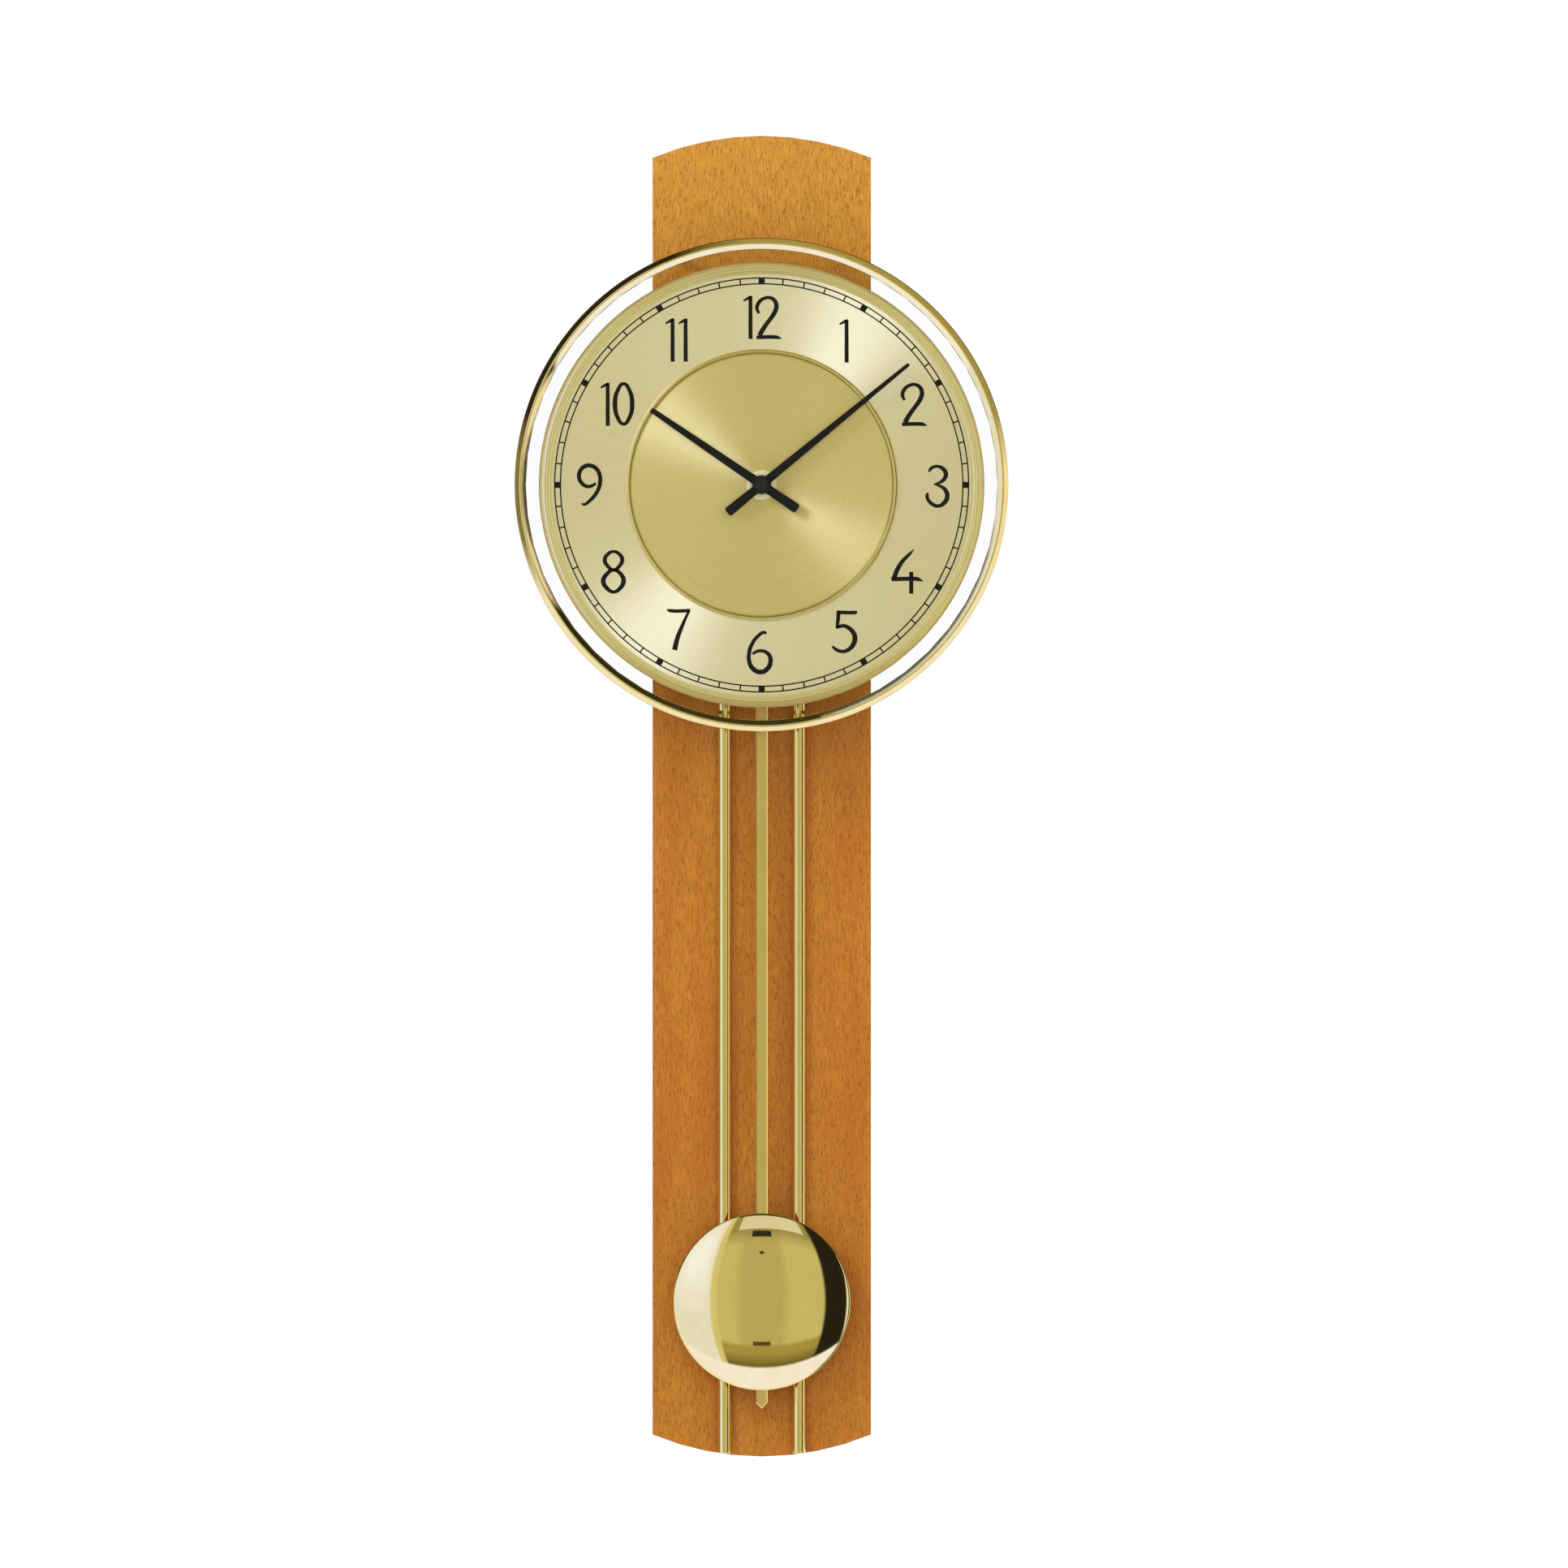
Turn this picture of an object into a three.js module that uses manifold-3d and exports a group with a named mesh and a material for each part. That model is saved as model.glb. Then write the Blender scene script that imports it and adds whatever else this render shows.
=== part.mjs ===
// A pendulum wall clock: a tall narrow wooden board with a round dial in a brass bezel near its top,
// two brass rods down its face, and a brass pendulum swinging in front of it. A battery movement
// behind the dial turns the hands and keeps the pendulum going.
//
// Millimetres. The model is drawn as seen from the front, x to the right, y up and z out of the wall,
// and the outermost group stands it up with +Z up and its front facing -Y. The origin is the point
// where the nail in the wall carries the hanger plate.

import * as THREE from 'three';
import { mergeVertices } from 'three/addons/utils/BufferGeometryUtils.js';
import Module from 'manifold-3d';

// ---- Driving dimensions --------------------------------------------------------------------------

// Clearances
const partGap = 0.3; // between fixed pieces that fit into one another
const runningGap = 0.2; // around a shaft that turns

// Board
const boardWidth = 102.5;
const boardHeight = 620;
const boardEndRise = 10.3; // how far the rounded ends rise above their corners
const coreThickness = 15.4;
const veneerThickness = 0.6;
const windowMargin = 4; // from the movement to the edge of the window behind it
const windowReach = 35.2; // of the window below the movement, to hook the pendulum on

// Where things hang
const nailDrop = 50; // from the top of the board down to the nail
const dialDrop = 164.6; // from the top of the board down to the dial's centre

// Rods
const rodDiameter = 6.5;
const rodSpacing = 35;

// Dial
const dialRadius = 104.1; // over its rim
const dialThickness = 1;
const rimWidth = 4.3;
const rimHeight = 3;
const rimLip = 1; // how far the rim reaches over the dial plate
const centreDiscRadius = 61;
const centreDiscThickness = 0.5;
const beadWidth = 2.3;
const beadHeight = 1.6;

// Bezel and crystal
const bezelGap = 6; // between the dial's rim and the bezel, seen from the front
const bezelWidth = 5.2;
const bezelWall = 3.7;
const bezelLipHeight = 9.1; // from the bezel's back edge to the underside of its lip
const crystalThickness = 2.5;
const crystalRise = 15;
const retainerThickness = 1.2;
const postDiameter = 3.6;
const postSideways = 38; // of each post from the dial's centre line
const postStem = 10; // how deep a post's stem goes into the board
const postSpigot = 4;

// Housing that carries the movement and the dial
const housingMargin = 5.25; // from the board's edge to the housing's side
const housingWall = 2;
const housingCorner = 8;
const bossDiameter = 9;

// Movement
const movementAbove = 28; // from the hand arbor up to the top of the main body
const movementBelow = 28.8;
const towerWidth = 40; // the upper part that drives the pendulum
const towerAbove = 58;
const movementDepth = 16.4;
const coverThickness = 1.4;
const mouldedWall = 1.6;
const dividerWall = 1.2; // between the wheels and the battery
const neckDiameter = 8;
const neckLength = 7.6;
const batteryDiameter = 14.2;
const batteryLength = 49.2;
const batteryNub = 1.3;
const contactThickness = 0.4;
const contactSpace = 1.15; // for a contact and its spring at each end of the battery

// Hand stack
const hourTubeRadius = 2.5;
const minuteArborRadius = 1.5;
const handThickness = 0.5;
const washerDiameter = 14;
const washerThickness = 0.4;
const nutDiameter = 12.5;
const nutThickness = 3;
const hourHandRise = 0.8; // of the hour hand's back above the neck's end
const minuteHandRise = 2; // of the minute hand's back above the hour hand's front
const capNutDiameter = 8.7;
const capNutHeight = 3.4;
const minuteHandShort = 10.5; // from the minute hand's tip out to the dial plate's edge
const minuteHandTail = 20.7;
const hourHandShort = 37;
const hourHandTail = 20.3;
const minuteRestTurn = 50.7; // degrees clockwise from twelve, at 10:08 and a half
const hourRestTurn = 304.2;

// Pendulum
const pivotAbove = 46; // of the pendulum's pivot above the dial's centre
const pivotPinDiameter = 2;
const lathWidth = 5.6;
const lathThickness = 1.2;
const lathTipDrop = 432.5; // from the dial's centre down to the lath's point
const lathGap = 7.35; // from the front of the rods to the back of the lath
const hookAbove = 22; // of the hook above the dial's centre
const hangerWidth = 8;
const hangerThickness = 2;
const hangerOffset = 4.3; // from the front of the lath to the back of the hanger
const hangerGap = 1.7; // from the front of the hanger to the movement
const knobOffset = 1.8; // from the front of the lath to the setting knob
const magnetAbove = 33;
const bobDrop = 382.4; // from the dial's centre down to the bob's centre
const bobDiameter = 83;
const bobRise = 13;
const bobWall = 1;

// Screws
const screwDiameter = 3;
const screwHeadDiameter = 6;
const screwHeadHeight = 1.8;

// Steps around a circle
const wideSteps = 48;
const bobSteps = 36;
const middleSteps = 20;
const smallSteps = 10;

// ---- Values worked out from them -----------------------------------------------------------------

const boardFront = coreThickness + veneerThickness;
const rodFront = boardFront + partGap / 2 + rodDiameter;
const boardTop = nailDrop;
const boardBottom = nailDrop - boardHeight;
const dialCentre = nailDrop - dialDrop;
const lathPlane = rodFront + lathGap;
const lathFront = lathPlane + lathThickness;
const hangerBack = lathFront + hangerOffset;
const hangerFront = hangerBack + hangerThickness;
const coverBack = hangerFront + hangerGap;
const shellBack = coverBack + coverThickness;
const shellFront = shellBack + movementDepth;
const housingFront = shellFront + housingWall;
const shellInside = shellFront - mouldedWall;
const neckEnd = shellFront + neckLength;
const dialFront = housingFront + dialThickness;
const discFront = dialFront + centreDiscThickness;
const hourHandBack = neckEnd + hourHandRise;
const minuteHandBack = hourHandBack + handThickness + minuteHandRise;
const capNutBack = minuteHandBack + handThickness + runningGap;
const bezelRadius = dialRadius + bezelGap + bezelWidth;
const crystalRadius = bezelRadius - bezelWall - partGap;
const crystalSphere = (crystalRadius ** 2 + crystalRise ** 2) / (2 * crystalRise);
const crystalLipRise = Math.sqrt(crystalSphere ** 2 - (bezelRadius - bezelWidth) ** 2)
  - Math.sqrt(crystalSphere ** 2 - crystalRadius ** 2); // of the dome between its edge and the lip's
const crystalBack = housingFront + bezelLipHeight - crystalLipRise - partGap - crystalThickness;
const movementWidth = batteryLength + batteryNub + 2 * (contactSpace + mouldedWall);
const windowAbove = towerAbove + windowMargin;
const windowBelow = movementBelow + windowReach;
const housingWidth = boardWidth - 2 * housingMargin;
const housingTop = windowAbove + 4 + bossDiameter;
const housingBottom = -windowBelow - 5 - bossDiameter;
const windowWidth = movementWidth + 2 * windowMargin;

// ---- Shapes and solids ---------------------------------------------------------------------------

const wasm = await Module();
wasm.setup();

/** A geometry's triangles with shared corners, as a solid that can be cut and joined. */
function toSolid(geometry) {
  const bare = geometry.clone();
  bare.deleteAttribute('normal');
  bare.deleteAttribute('uv');
  const merged = mergeVertices(bare, 1e-4);
  const corners = merged.index.array;
  const triangles = [];
  for (let i = 0; i < corners.length; i += 3) {
    const [a, b, c] = [corners[i], corners[i + 1], corners[i + 2]];
    if (a !== b && b !== c && c !== a) triangles.push(a, b, c);
  }
  return new wasm.Manifold(new wasm.Mesh({
    numProp: 3,
    vertProperties: new Float32Array(merged.attributes.position.array),
    triVerts: new Uint32Array(triangles),
  }));
}

function fromSolid(solid) {
  const { vertProperties, triVerts } = solid.getMesh();
  const geometry = new THREE.BufferGeometry();
  geometry.setAttribute('position', new THREE.Float32BufferAttribute(vertProperties, 3));
  geometry.setIndex(new THREE.Uint32BufferAttribute(triVerts, 1));
  geometry.computeVertexNormals();
  return geometry;
}

function cut(geometry, ...tools) {
  return fromSolid(tools.reduce((solid, tool) => solid.subtract(toSolid(tool)), toSolid(geometry)));
}

function join(...geometries) {
  return fromSolid(geometries.map(toSolid).reduce((whole, next) => whole.add(next)));
}

/** A piece of sheet or block: a shape seen from the front, from one depth out to another. */
function sheet(shape, back, front, curveSegments = 12) {
  const options = { depth: front - back, bevelEnabled: false, curveSegments };
  return new THREE.ExtrudeGeometry(shape, options).translate(0, 0, back);
}

/** A turned piece: corners of [radius, depth], spun about a line that points out of the wall. */
function turned(section, steps) {
  const points = section.map(([radius, depth]) => new THREE.Vector2(radius, depth));
  return new THREE.LatheGeometry(points, steps).rotateX(Math.PI / 2);
}

/** A turned ring: its section is closed here, so it lists each corner once. */
function turnedRing(section, steps) {
  return turned([...section, section[0]], steps);
}

function disc(radius, back, front, steps = smallSteps) {
  return turned([[0, back], [radius, back], [radius, front], [0, front]], steps);
}

function washer(outer, inner, back, front, steps) {
  return turnedRing([[inner, back], [outer, back], [outer, front], [inner, front]], steps);
}

function block(left, right, bottom, top, back, front) {
  const geometry = new THREE.BoxGeometry(right - left, top - bottom, front - back);
  return geometry.translate((left + right) / 2, (bottom + top) / 2, (back + front) / 2);
}

function outline(points) {
  return new THREE.Shape(points.map(([x, y]) => new THREE.Vector2(x, y)));
}

function circle(radius, x = 0, y = 0) {
  const path = new THREE.Path();
  path.absarc(x, y, radius, 0, 2 * Math.PI, true);
  return path;
}

function roundedRectangle(left, right, bottom, top, corner) {
  const shape = new THREE.Shape();
  shape.absarc(right - corner, bottom + corner, corner, -Math.PI / 2, 0);
  shape.absarc(right - corner, top - corner, corner, 0, Math.PI / 2);
  shape.absarc(left + corner, top - corner, corner, Math.PI / 2, Math.PI);
  shape.absarc(left + corner, bottom + corner, corner, Math.PI, 1.5 * Math.PI);
  shape.closePath();
  return shape;
}

/** Points along an arc of a section, from one angle to another, both in degrees. */
function arcPoints(x, y, radius, from, to, count) {
  return Array.from({ length: count + 1 }, (_, i) => {
    const angle = THREE.MathUtils.degToRad(from + ((to - from) * i) / count);
    return [x + radius * Math.cos(angle), y + radius * Math.sin(angle)];
  });
}

/** Points up a domed surface from its edge to its middle, for a dome of this rise. */
function domePoints(edgeRadius, edgeDepth, rise, count) {
  const sphere = (edgeRadius ** 2 + rise ** 2) / (2 * rise);
  return Array.from({ length: count + 1 }, (_, i) => {
    const radius = edgeRadius * (1 - i / count);
    return [radius, edgeDepth + rise - sphere + Math.sqrt(sphere ** 2 - radius ** 2)];
  });
}

// ---- Finishes ------------------------------------------------------------------------------------

const finishes = {
  board: { color: 0xa9854f, roughness: 0.75, metalness: 0 },
  beech: { color: 0xc08138, roughness: 0.45, metalness: 0 },
  polishedBrass: { color: 0xd9b45a, roughness: 0.12, metalness: 1 },
  satinBrass: { color: 0xcdb464, roughness: 0.32, metalness: 1 },
  paleGold: { color: 0xd8cc9a, roughness: 0.35, metalness: 1 },
  glass: { color: 0xf4f8f8, roughness: 0.02, metalness: 0 },
  blackPlastic: { color: 0x1c1c1c, roughness: 0.5, metalness: 0 },
  whitePlastic: { color: 0xe4e2da, roughness: 0.45, metalness: 0 },
  blackMetal: { color: 0x0c0c0d, roughness: 0.25, metalness: 0.4 },
  steel: { color: 0xb4b6ba, roughness: 0.35, metalness: 1 },
  magnet: { color: 0x4a4c50, roughness: 0.4, metalness: 0.9 },
  copperWire: { color: 0xb5652e, roughness: 0.35, metalness: 0.9 },
  circuit: { color: 0x2e6b3c, roughness: 0.5, metalness: 0 },
  batteryLabel: { color: 0x39404a, roughness: 0.35, metalness: 0.3 },
};

function piece(group, name, geometry, finish, x = 0, y = 0) {
  const mesh = new THREE.Mesh(geometry, new THREE.MeshStandardMaterial(finishes[finish]));
  mesh.name = name;
  mesh.position.set(x, y, 0);
  group.add(mesh);
  return mesh;
}

const clock = new THREE.Group();
clock.rotation.x = Math.PI / 2;
const head = new THREE.Group(); // everything placed from the dial's centre
head.position.set(0, dialCentre, 0);
clock.add(head);

// ---- Screws: a countersunk head at the back, a shank and a pointed end -----------------------------

function screw(back, length) {
  const headRadius = screwHeadDiameter / 2;
  const shankRadius = screwDiameter / 2;
  const tip = back + length;
  const section = [
    [0, back], [headRadius, back], [headRadius, back + 0.3], [shankRadius, back + screwHeadHeight],
    [shankRadius, tip - 3], [0.4, tip], [0, tip],
  ];
  return turned(section, smallSteps);
}

/** The hole that takes such a screw in the piece under its head, countersunk from the back. */
function screwHole(back, front) {
  const headRadius = screwHeadDiameter / 2 + partGap;
  const shankRadius = screwDiameter / 2 + partGap;
  const section = [
    [0, back - 1], [headRadius, back - 1], [headRadius, back + 0.6],
    [shankRadius, back + screwHeadHeight + partGap], [shankRadius, front], [0, front],
  ];
  return turned(section, smallSteps);
}

// ---- Board: a fibreboard core with a beech veneer face ---------------------------------------------

const screwSink = 0.2; // of a screw's head below the board's back
const bossX = housingWidth / 2 - bossDiameter / 2 - 0.4;
const housingScrewPlaces = [-bossX, bossX].flatMap((x) => [
  [x, dialCentre + windowAbove + 3 + bossDiameter / 2],
  [x, dialCentre - windowBelow - 3 - bossDiameter / 2],
]);
const rodTop = dialCentre + housingBottom - 4;
const rodX = rodSpacing / 2;
const endRadius = ((boardWidth / 2) ** 2 + boardEndRise ** 2) / (2 * boardEndRise);
const rodBottom = boardBottom + endRadius - Math.sqrt(endRadius ** 2 - (rodX + rodDiameter / 2) ** 2);
const rodScrewInset = 20;
const rodScrewPlaces = [-rodX, rodX].flatMap((x) => [
  [x, rodTop - rodScrewInset],
  [x, rodBottom + rodScrewInset],
]);
const postStemRadius = postDiameter / 3;
const postHole = postStemRadius + partGap;
const postRing = bezelRadius - bezelWall / 2;
const postUp = Math.sqrt(postRing ** 2 - postSideways ** 2);
const postPlaces = [-1, 1].flatMap((side) => [
  [side * postSideways, postUp],
  [side * postSideways, -postUp],
]);

function boardOutline() {
  const half = boardWidth / 2;
  const rise = Math.sqrt(endRadius ** 2 - half ** 2);
  const spread = Math.atan2(half, rise);
  const shape = new THREE.Shape();
  shape.absarc(0, boardTop - endRadius, endRadius, Math.PI / 2 - spread, Math.PI / 2 + spread);
  shape.absarc(0, boardBottom + endRadius, endRadius, 1.5 * Math.PI - spread, 1.5 * Math.PI + spread);
  shape.closePath();
  return shape;
}

function boardWindow() {
  const half = windowWidth / 2;
  return roundedRectangle(-half, half, dialCentre - windowBelow, dialCentre + windowAbove, 6);
}

const plateSeat = 3; // how deep the hanger plate is let into the back
const plateWidth = 44;
const plateAbove = 8; // of the plate's top edge above the nail
const plateBelow = 16;
const plateThickness = 1.2;
const nailSlot = 4.6;
const nailHeadHole = 9;
const nailHeadDrop = 9; // from the nail's seat down to the hole for its head
const nailPocketDepth = 7;
const plateScrewX = 17;
const plateMiddle = (plateAbove - plateBelow) / 2;

const boardBlank = boardOutline();
boardBlank.holes.push(boardWindow());
const plateRecess = block(
  -plateWidth / 2 - partGap, plateWidth / 2 + partGap,
  -plateBelow - partGap, plateAbove + partGap, -1, plateSeat,
);
const nailPocket = block(
  -nailHeadHole / 2 - 2, nailHeadHole / 2 + 2,
  -nailHeadDrop - nailHeadHole / 2 - 2, nailSlot, -1, plateSeat + nailPocketDepth,
);
const shankHole = screwDiameter / 2 + partGap;
piece(clock, 'board_core', cut(
  sheet(boardBlank, 0, coreThickness, 4),
  plateRecess,
  nailPocket,
  ...[-plateScrewX, plateScrewX].map((x) => (
    disc(shankHole, 0, plateSeat + 9).translate(x, plateMiddle, 0)
  )),
  ...[...housingScrewPlaces, ...rodScrewPlaces].map(([x, y]) => (
    screwHole(screwSink, boardFront).translate(x, y, 0)
  )),
  ...postPlaces.map(([x, y]) => (
    disc(postHole, boardFront - postStem - partGap, boardFront).translate(x, dialCentre + y, 0)
  )),
), 'board');

const veneerBlank = boardOutline();
veneerBlank.holes.push(boardWindow());
for (const [x, y] of [...housingScrewPlaces, ...rodScrewPlaces]) {
  veneerBlank.holes.push(circle(shankHole, x, y));
}
for (const [x, y] of postPlaces) veneerBlank.holes.push(circle(postHole, x, dialCentre + y));
piece(clock, 'face_veneer', sheet(veneerBlank, coreThickness, boardFront, 4), 'beech');

// ---- Hanger plate: steel, let into the back, with a keyhole for the nail ---------------------------

function keyhole() {
  const half = nailSlot / 2;
  const opening = Math.asin(half / (nailHeadHole / 2));
  const path = new THREE.Path();
  path.absarc(0, 0, half, 0, Math.PI);
  path.absarc(0, -nailHeadDrop, nailHeadHole / 2, Math.PI / 2 + opening, 2.5 * Math.PI - opening);
  path.closePath();
  return path;
}

const plateFront = plateSeat;
const plateBack = plateSeat - plateThickness;
const plateBlank = outline([
  [-plateWidth / 2, -plateBelow], [plateWidth / 2, -plateBelow],
  [plateWidth / 2, plateAbove], [-plateWidth / 2, plateAbove],
]);
plateBlank.holes.push(keyhole());
for (const x of [-plateScrewX, plateScrewX]) plateBlank.holes.push(circle(shankHole, x, plateMiddle));
piece(clock, 'hanger_plate', sheet(plateBlank, plateBack, plateFront, 8), 'steel');

/** A pan-head screw: its flat head sits on the plate. */
function panScrew() {
  const head = plateBack - 0.1;
  const section = [
    [0, head - 1.4], [2.2, head - 1.4], [2.8, head - 0.6], [2.8, head],
    [screwDiameter / 2, head], [screwDiameter / 2, plateSeat + 6], [0.4, plateSeat + 8.6],
    [0, plateSeat + 8.6],
  ];
  return turned(section, smallSteps);
}
piece(clock, 'hanger_screw_1', panScrew(), 'steel', -plateScrewX, plateMiddle);
piece(clock, 'hanger_screw_2', panScrew(), 'steel', plateScrewX, plateMiddle);

// ---- Rods: two brass rods on the board's face, screwed on from behind ------------------------------

const rodScrewBite = 3.2;
const rodCentre = rodFront - rodDiameter / 2;
['left', 'right'].forEach((side, i) => {
  const length = rodTop - rodBottom;
  const x = i === 0 ? -rodX : rodX;
  const rod = new THREE.CylinderGeometry(rodDiameter / 2, rodDiameter / 2, length, 16)
    .translate(0, rodBottom + length / 2, rodCentre);
  const holes = [rodTop - rodScrewInset, rodBottom + rodScrewInset].map((y) => (
    disc(shankHole, boardFront - 1, boardFront + rodScrewBite + partGap).translate(0, y, 0)
  ));
  piece(clock, `rod_${side}`, cut(rod, ...holes), 'polishedBrass', x);
});
rodScrewPlaces.forEach(([x, y], i) => {
  const length = boardFront - screwSink + rodScrewBite;
  piece(clock, `rod_screw_${i + 1}`, screw(screwSink, length), 'steel', x, y);
});

// ---- Housing: a black moulding that stands on the board and carries movement and dial --------------

const bossBite = 12; // how far a housing screw goes into its boss
const housingSide = housingWidth / 2;
const housingOutside = roundedRectangle(
  -housingSide, housingSide, housingBottom, housingTop, housingCorner,
);
const housingInside = roundedRectangle(
  -housingSide + housingWall, housingSide - housingWall,
  housingBottom + housingWall, housingTop - housingWall, housingCorner - housingWall,
);
const neckHole = neckDiameter / 2 + partGap;
const pendulumWay = block(
  -windowWidth / 2, windowWidth / 2,
  housingBottom - 1, housingBottom + housingWall + 1, boardFront - 1, shellFront,
);
const bosses = housingScrewPlaces.map(([x, y]) => (
  disc(bossDiameter / 2, boardFront, shellFront + 1).translate(x, y - dialCentre, 0)
));
const bossHoles = housingScrewPlaces.map(([x, y]) => (
  disc(shankHole, boardFront - 1, boardFront + bossBite + 1).translate(x, y - dialCentre, 0)
));
piece(head, 'dial_housing', cut(
  join(cut(
    sheet(housingOutside, boardFront, housingFront, 4),
    sheet(housingInside, boardFront - 1, shellFront, 4),
    disc(neckHole, shellFront - 1, housingFront + 1, middleSteps),
    pendulumWay,
  ), ...bosses),
  ...bossHoles,
), 'blackPlastic');
housingScrewPlaces.forEach(([x, y], i) => {
  const length = boardFront - screwSink + bossBite;
  piece(clock, `housing_screw_${i + 1}`, screw(screwSink, length), 'steel', x, y);
});

// ---- Dial: a gold-toned plate with a centre disc, a raised bead around that, and a rim -------------

const plateRadius = dialRadius - rimWidth - partGap;
const beadInner = centreDiscRadius + 0.2;
const beadOuter = beadInner + beadWidth;
piece(head, 'dial_plate', washer(plateRadius, neckHole, housingFront, dialFront, wideSteps), 'paleGold');
piece(
  head, 'dial_centre_disc',
  washer(centreDiscRadius, neckHole, dialFront, discFront, wideSteps), 'satinBrass',
);
piece(head, 'dial_bead', turnedRing([
  [beadInner, dialFront], [beadOuter, dialFront], [beadOuter - 0.3, dialFront + 1],
  [(beadInner + beadOuter) / 2, dialFront + beadHeight], [beadInner + 0.3, dialFront + 1],
], wideSteps), 'polishedBrass');
const rimInner = dialRadius - rimWidth;
const rimSeat = dialFront + 0.1;
piece(head, 'dial_rim', turnedRing([
  [rimInner, housingFront], [dialRadius, housingFront], [dialRadius, housingFront + rimHeight - 0.6],
  [dialRadius - 0.6, housingFront + rimHeight], [rimInner - rimLip, rimSeat + 0.4],
  [rimInner - rimLip, rimSeat], [rimInner, rimSeat],
], wideSteps), 'satinBrass');

// ---- Bezel: a polished brass ring on four posts, holding the domed crystal -------------------------

const lip = housingFront + bezelLipHeight;
const bezelMiddle = bezelRadius - bezelWidth / 2;
const bezelInside = bezelRadius - bezelWall;
const bezelRing = turnedRing([
  [bezelInside, housingFront], [bezelRadius, housingFront],
  ...arcPoints(bezelMiddle, lip, bezelWidth / 2, 0, 180, 6),
  [bezelInside, lip],
], wideSteps);
const spigotRadius = postStemRadius - 0.2;
piece(head, 'bezel_ring', cut(bezelRing, ...postPlaces.map(([x, y]) => (
  disc(spigotRadius + partGap, housingFront - 1, housingFront + postSpigot + partGap).translate(x, y, 0)
))), 'polishedBrass');
postPlaces.forEach(([x, y], i) => {
  piece(head, `bezel_post_${i + 1}`, turned([
    [0, boardFront - postStem], [postStemRadius, boardFront - postStem], [postStemRadius, boardFront],
    [postDiameter / 2, boardFront], [postDiameter / 2, housingFront], [spigotRadius, housingFront],
    [spigotRadius, housingFront + postSpigot], [0, housingFront + postSpigot],
  ], smallSteps), 'polishedBrass', x, y);
});
const crystalInside = domePoints(crystalRadius, crystalBack, crystalRise, 3);
const crystalOutside = domePoints(crystalRadius, crystalBack + crystalThickness, crystalRise, 3);
piece(head, 'crystal', turned([...crystalInside.reverse(), ...crystalOutside], wideSteps), 'glass');
piece(head, 'crystal_retainer', washer(
  crystalRadius, crystalRadius - retainerThickness,
  crystalBack - partGap - retainerThickness, crystalBack - partGap, wideSteps,
), 'steel');

// ---- Movement case: a moulded shell with a threaded neck, closed by a rear cover -------------------

const wallInside = movementWidth / 2 - mouldedWall;
const bayTop = -movementBelow + mouldedWall + batteryDiameter + 2 * partGap;
const chamberBottom = bayTop + dividerWall;
const coilRadius = 7.5;
const coilBore = 3;
const coilBack = shellBack + 0.9;

/** The case seen from the front: a wide body with a narrower tower on it, drawn in by an inset. */
function caseOutline(bottom, inset) {
  const wide = movementWidth / 2 - inset;
  const narrow = towerWidth / 2 - inset;
  return outline([
    [-wide, bottom], [wide, bottom], [wide, movementAbove - inset], [narrow, movementAbove - inset],
    [narrow, towerAbove - inset], [-narrow, towerAbove - inset], [-narrow, movementAbove - inset],
    [-wide, movementAbove - inset],
  ]);
}

/** The point at a distance from another, along a direction in degrees. */
function along([x, y], degrees, distance) {
  const angle = THREE.MathUtils.degToRad(degrees);
  return [x + distance * Math.cos(angle), y + distance * Math.sin(angle)];
}

// Wheels: teeth, module and the direction from each arbor to the next
const cannonTeeth = 10;
const minuteWheelTeeth = 30;
const minutePinionTeeth = 9;
const hourWheelTeeth = 36;
const motionDistance = 11.5;
const centreTeeth = 48;
const thirdTeeth = 45;
const secondsTeeth = 36;
const fifthTeeth = 30;
const pinionTeeth = 6;
const centreModule = 0.4;
const thirdModule = 0.36;
const rotorModule = 0.3;
const toThird = 142;
const toSeconds = 100;
const toFifth = 10;
const toRotor = -10;
const centreAt = [0, 0];
const minuteWheelAt = [motionDistance, 0];
const thirdAt = along(centreAt, toThird, (centreModule * (centreTeeth + pinionTeeth)) / 2);
const secondsAt = along(thirdAt, toSeconds, (thirdModule * (thirdTeeth + pinionTeeth)) / 2);
const fifthAt = along(secondsAt, toFifth, (thirdModule * (secondsTeeth + pinionTeeth)) / 2);
const rotorAt = along(fifthAt, toRotor, (rotorModule * (fifthTeeth + pinionTeeth)) / 2);
const trainArborRadius = 0.6;
const minuteWheelArborRadius = 0.9;
const pivotHole = trainArborRadius + runningGap;
const knobHole = minuteWheelArborRadius + runningGap + 0.1;

const pinRadius = pivotPinDiameter / 2;
const pinFront = shellBack + 4;
const pinBoss = disc(3, shellBack, shellInside + 0.5, middleSteps).translate(0, pivotAbove, 0);
const coilPost = disc(coilBore - partGap, coilBack, shellInside + 0.5, middleSteps)
  .translate(0, magnetAbove, 0);
const neck = disc(neckDiameter / 2, shellFront - 1, neckEnd, middleSteps);
const neckBore = disc(hourTubeRadius + runningGap, shellInside - 1, neckEnd + 1, middleSteps);
const minutePivotHole = disc(minuteWheelArborRadius, shellInside - 1, shellInside + 1)
  .translate(...minuteWheelAt, 0);
piece(head, 'movement_front_shell', cut(
  join(
    cut(
      sheet(caseOutline(-movementBelow, 0), shellBack, shellFront),
      sheet(caseOutline(chamberBottom, mouldedWall), shellBack - 1, shellInside),
      block(-wallInside, wallInside, -movementBelow + mouldedWall, bayTop, shellBack - 1, shellInside),
    ),
    neck, pinBoss, coilPost,
  ),
  neckBore,
  minutePivotHole,
  disc(pinRadius + partGap, shellBack - 1, pinFront + partGap).translate(0, pivotAbove, 0),
), 'blackPlastic');

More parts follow.
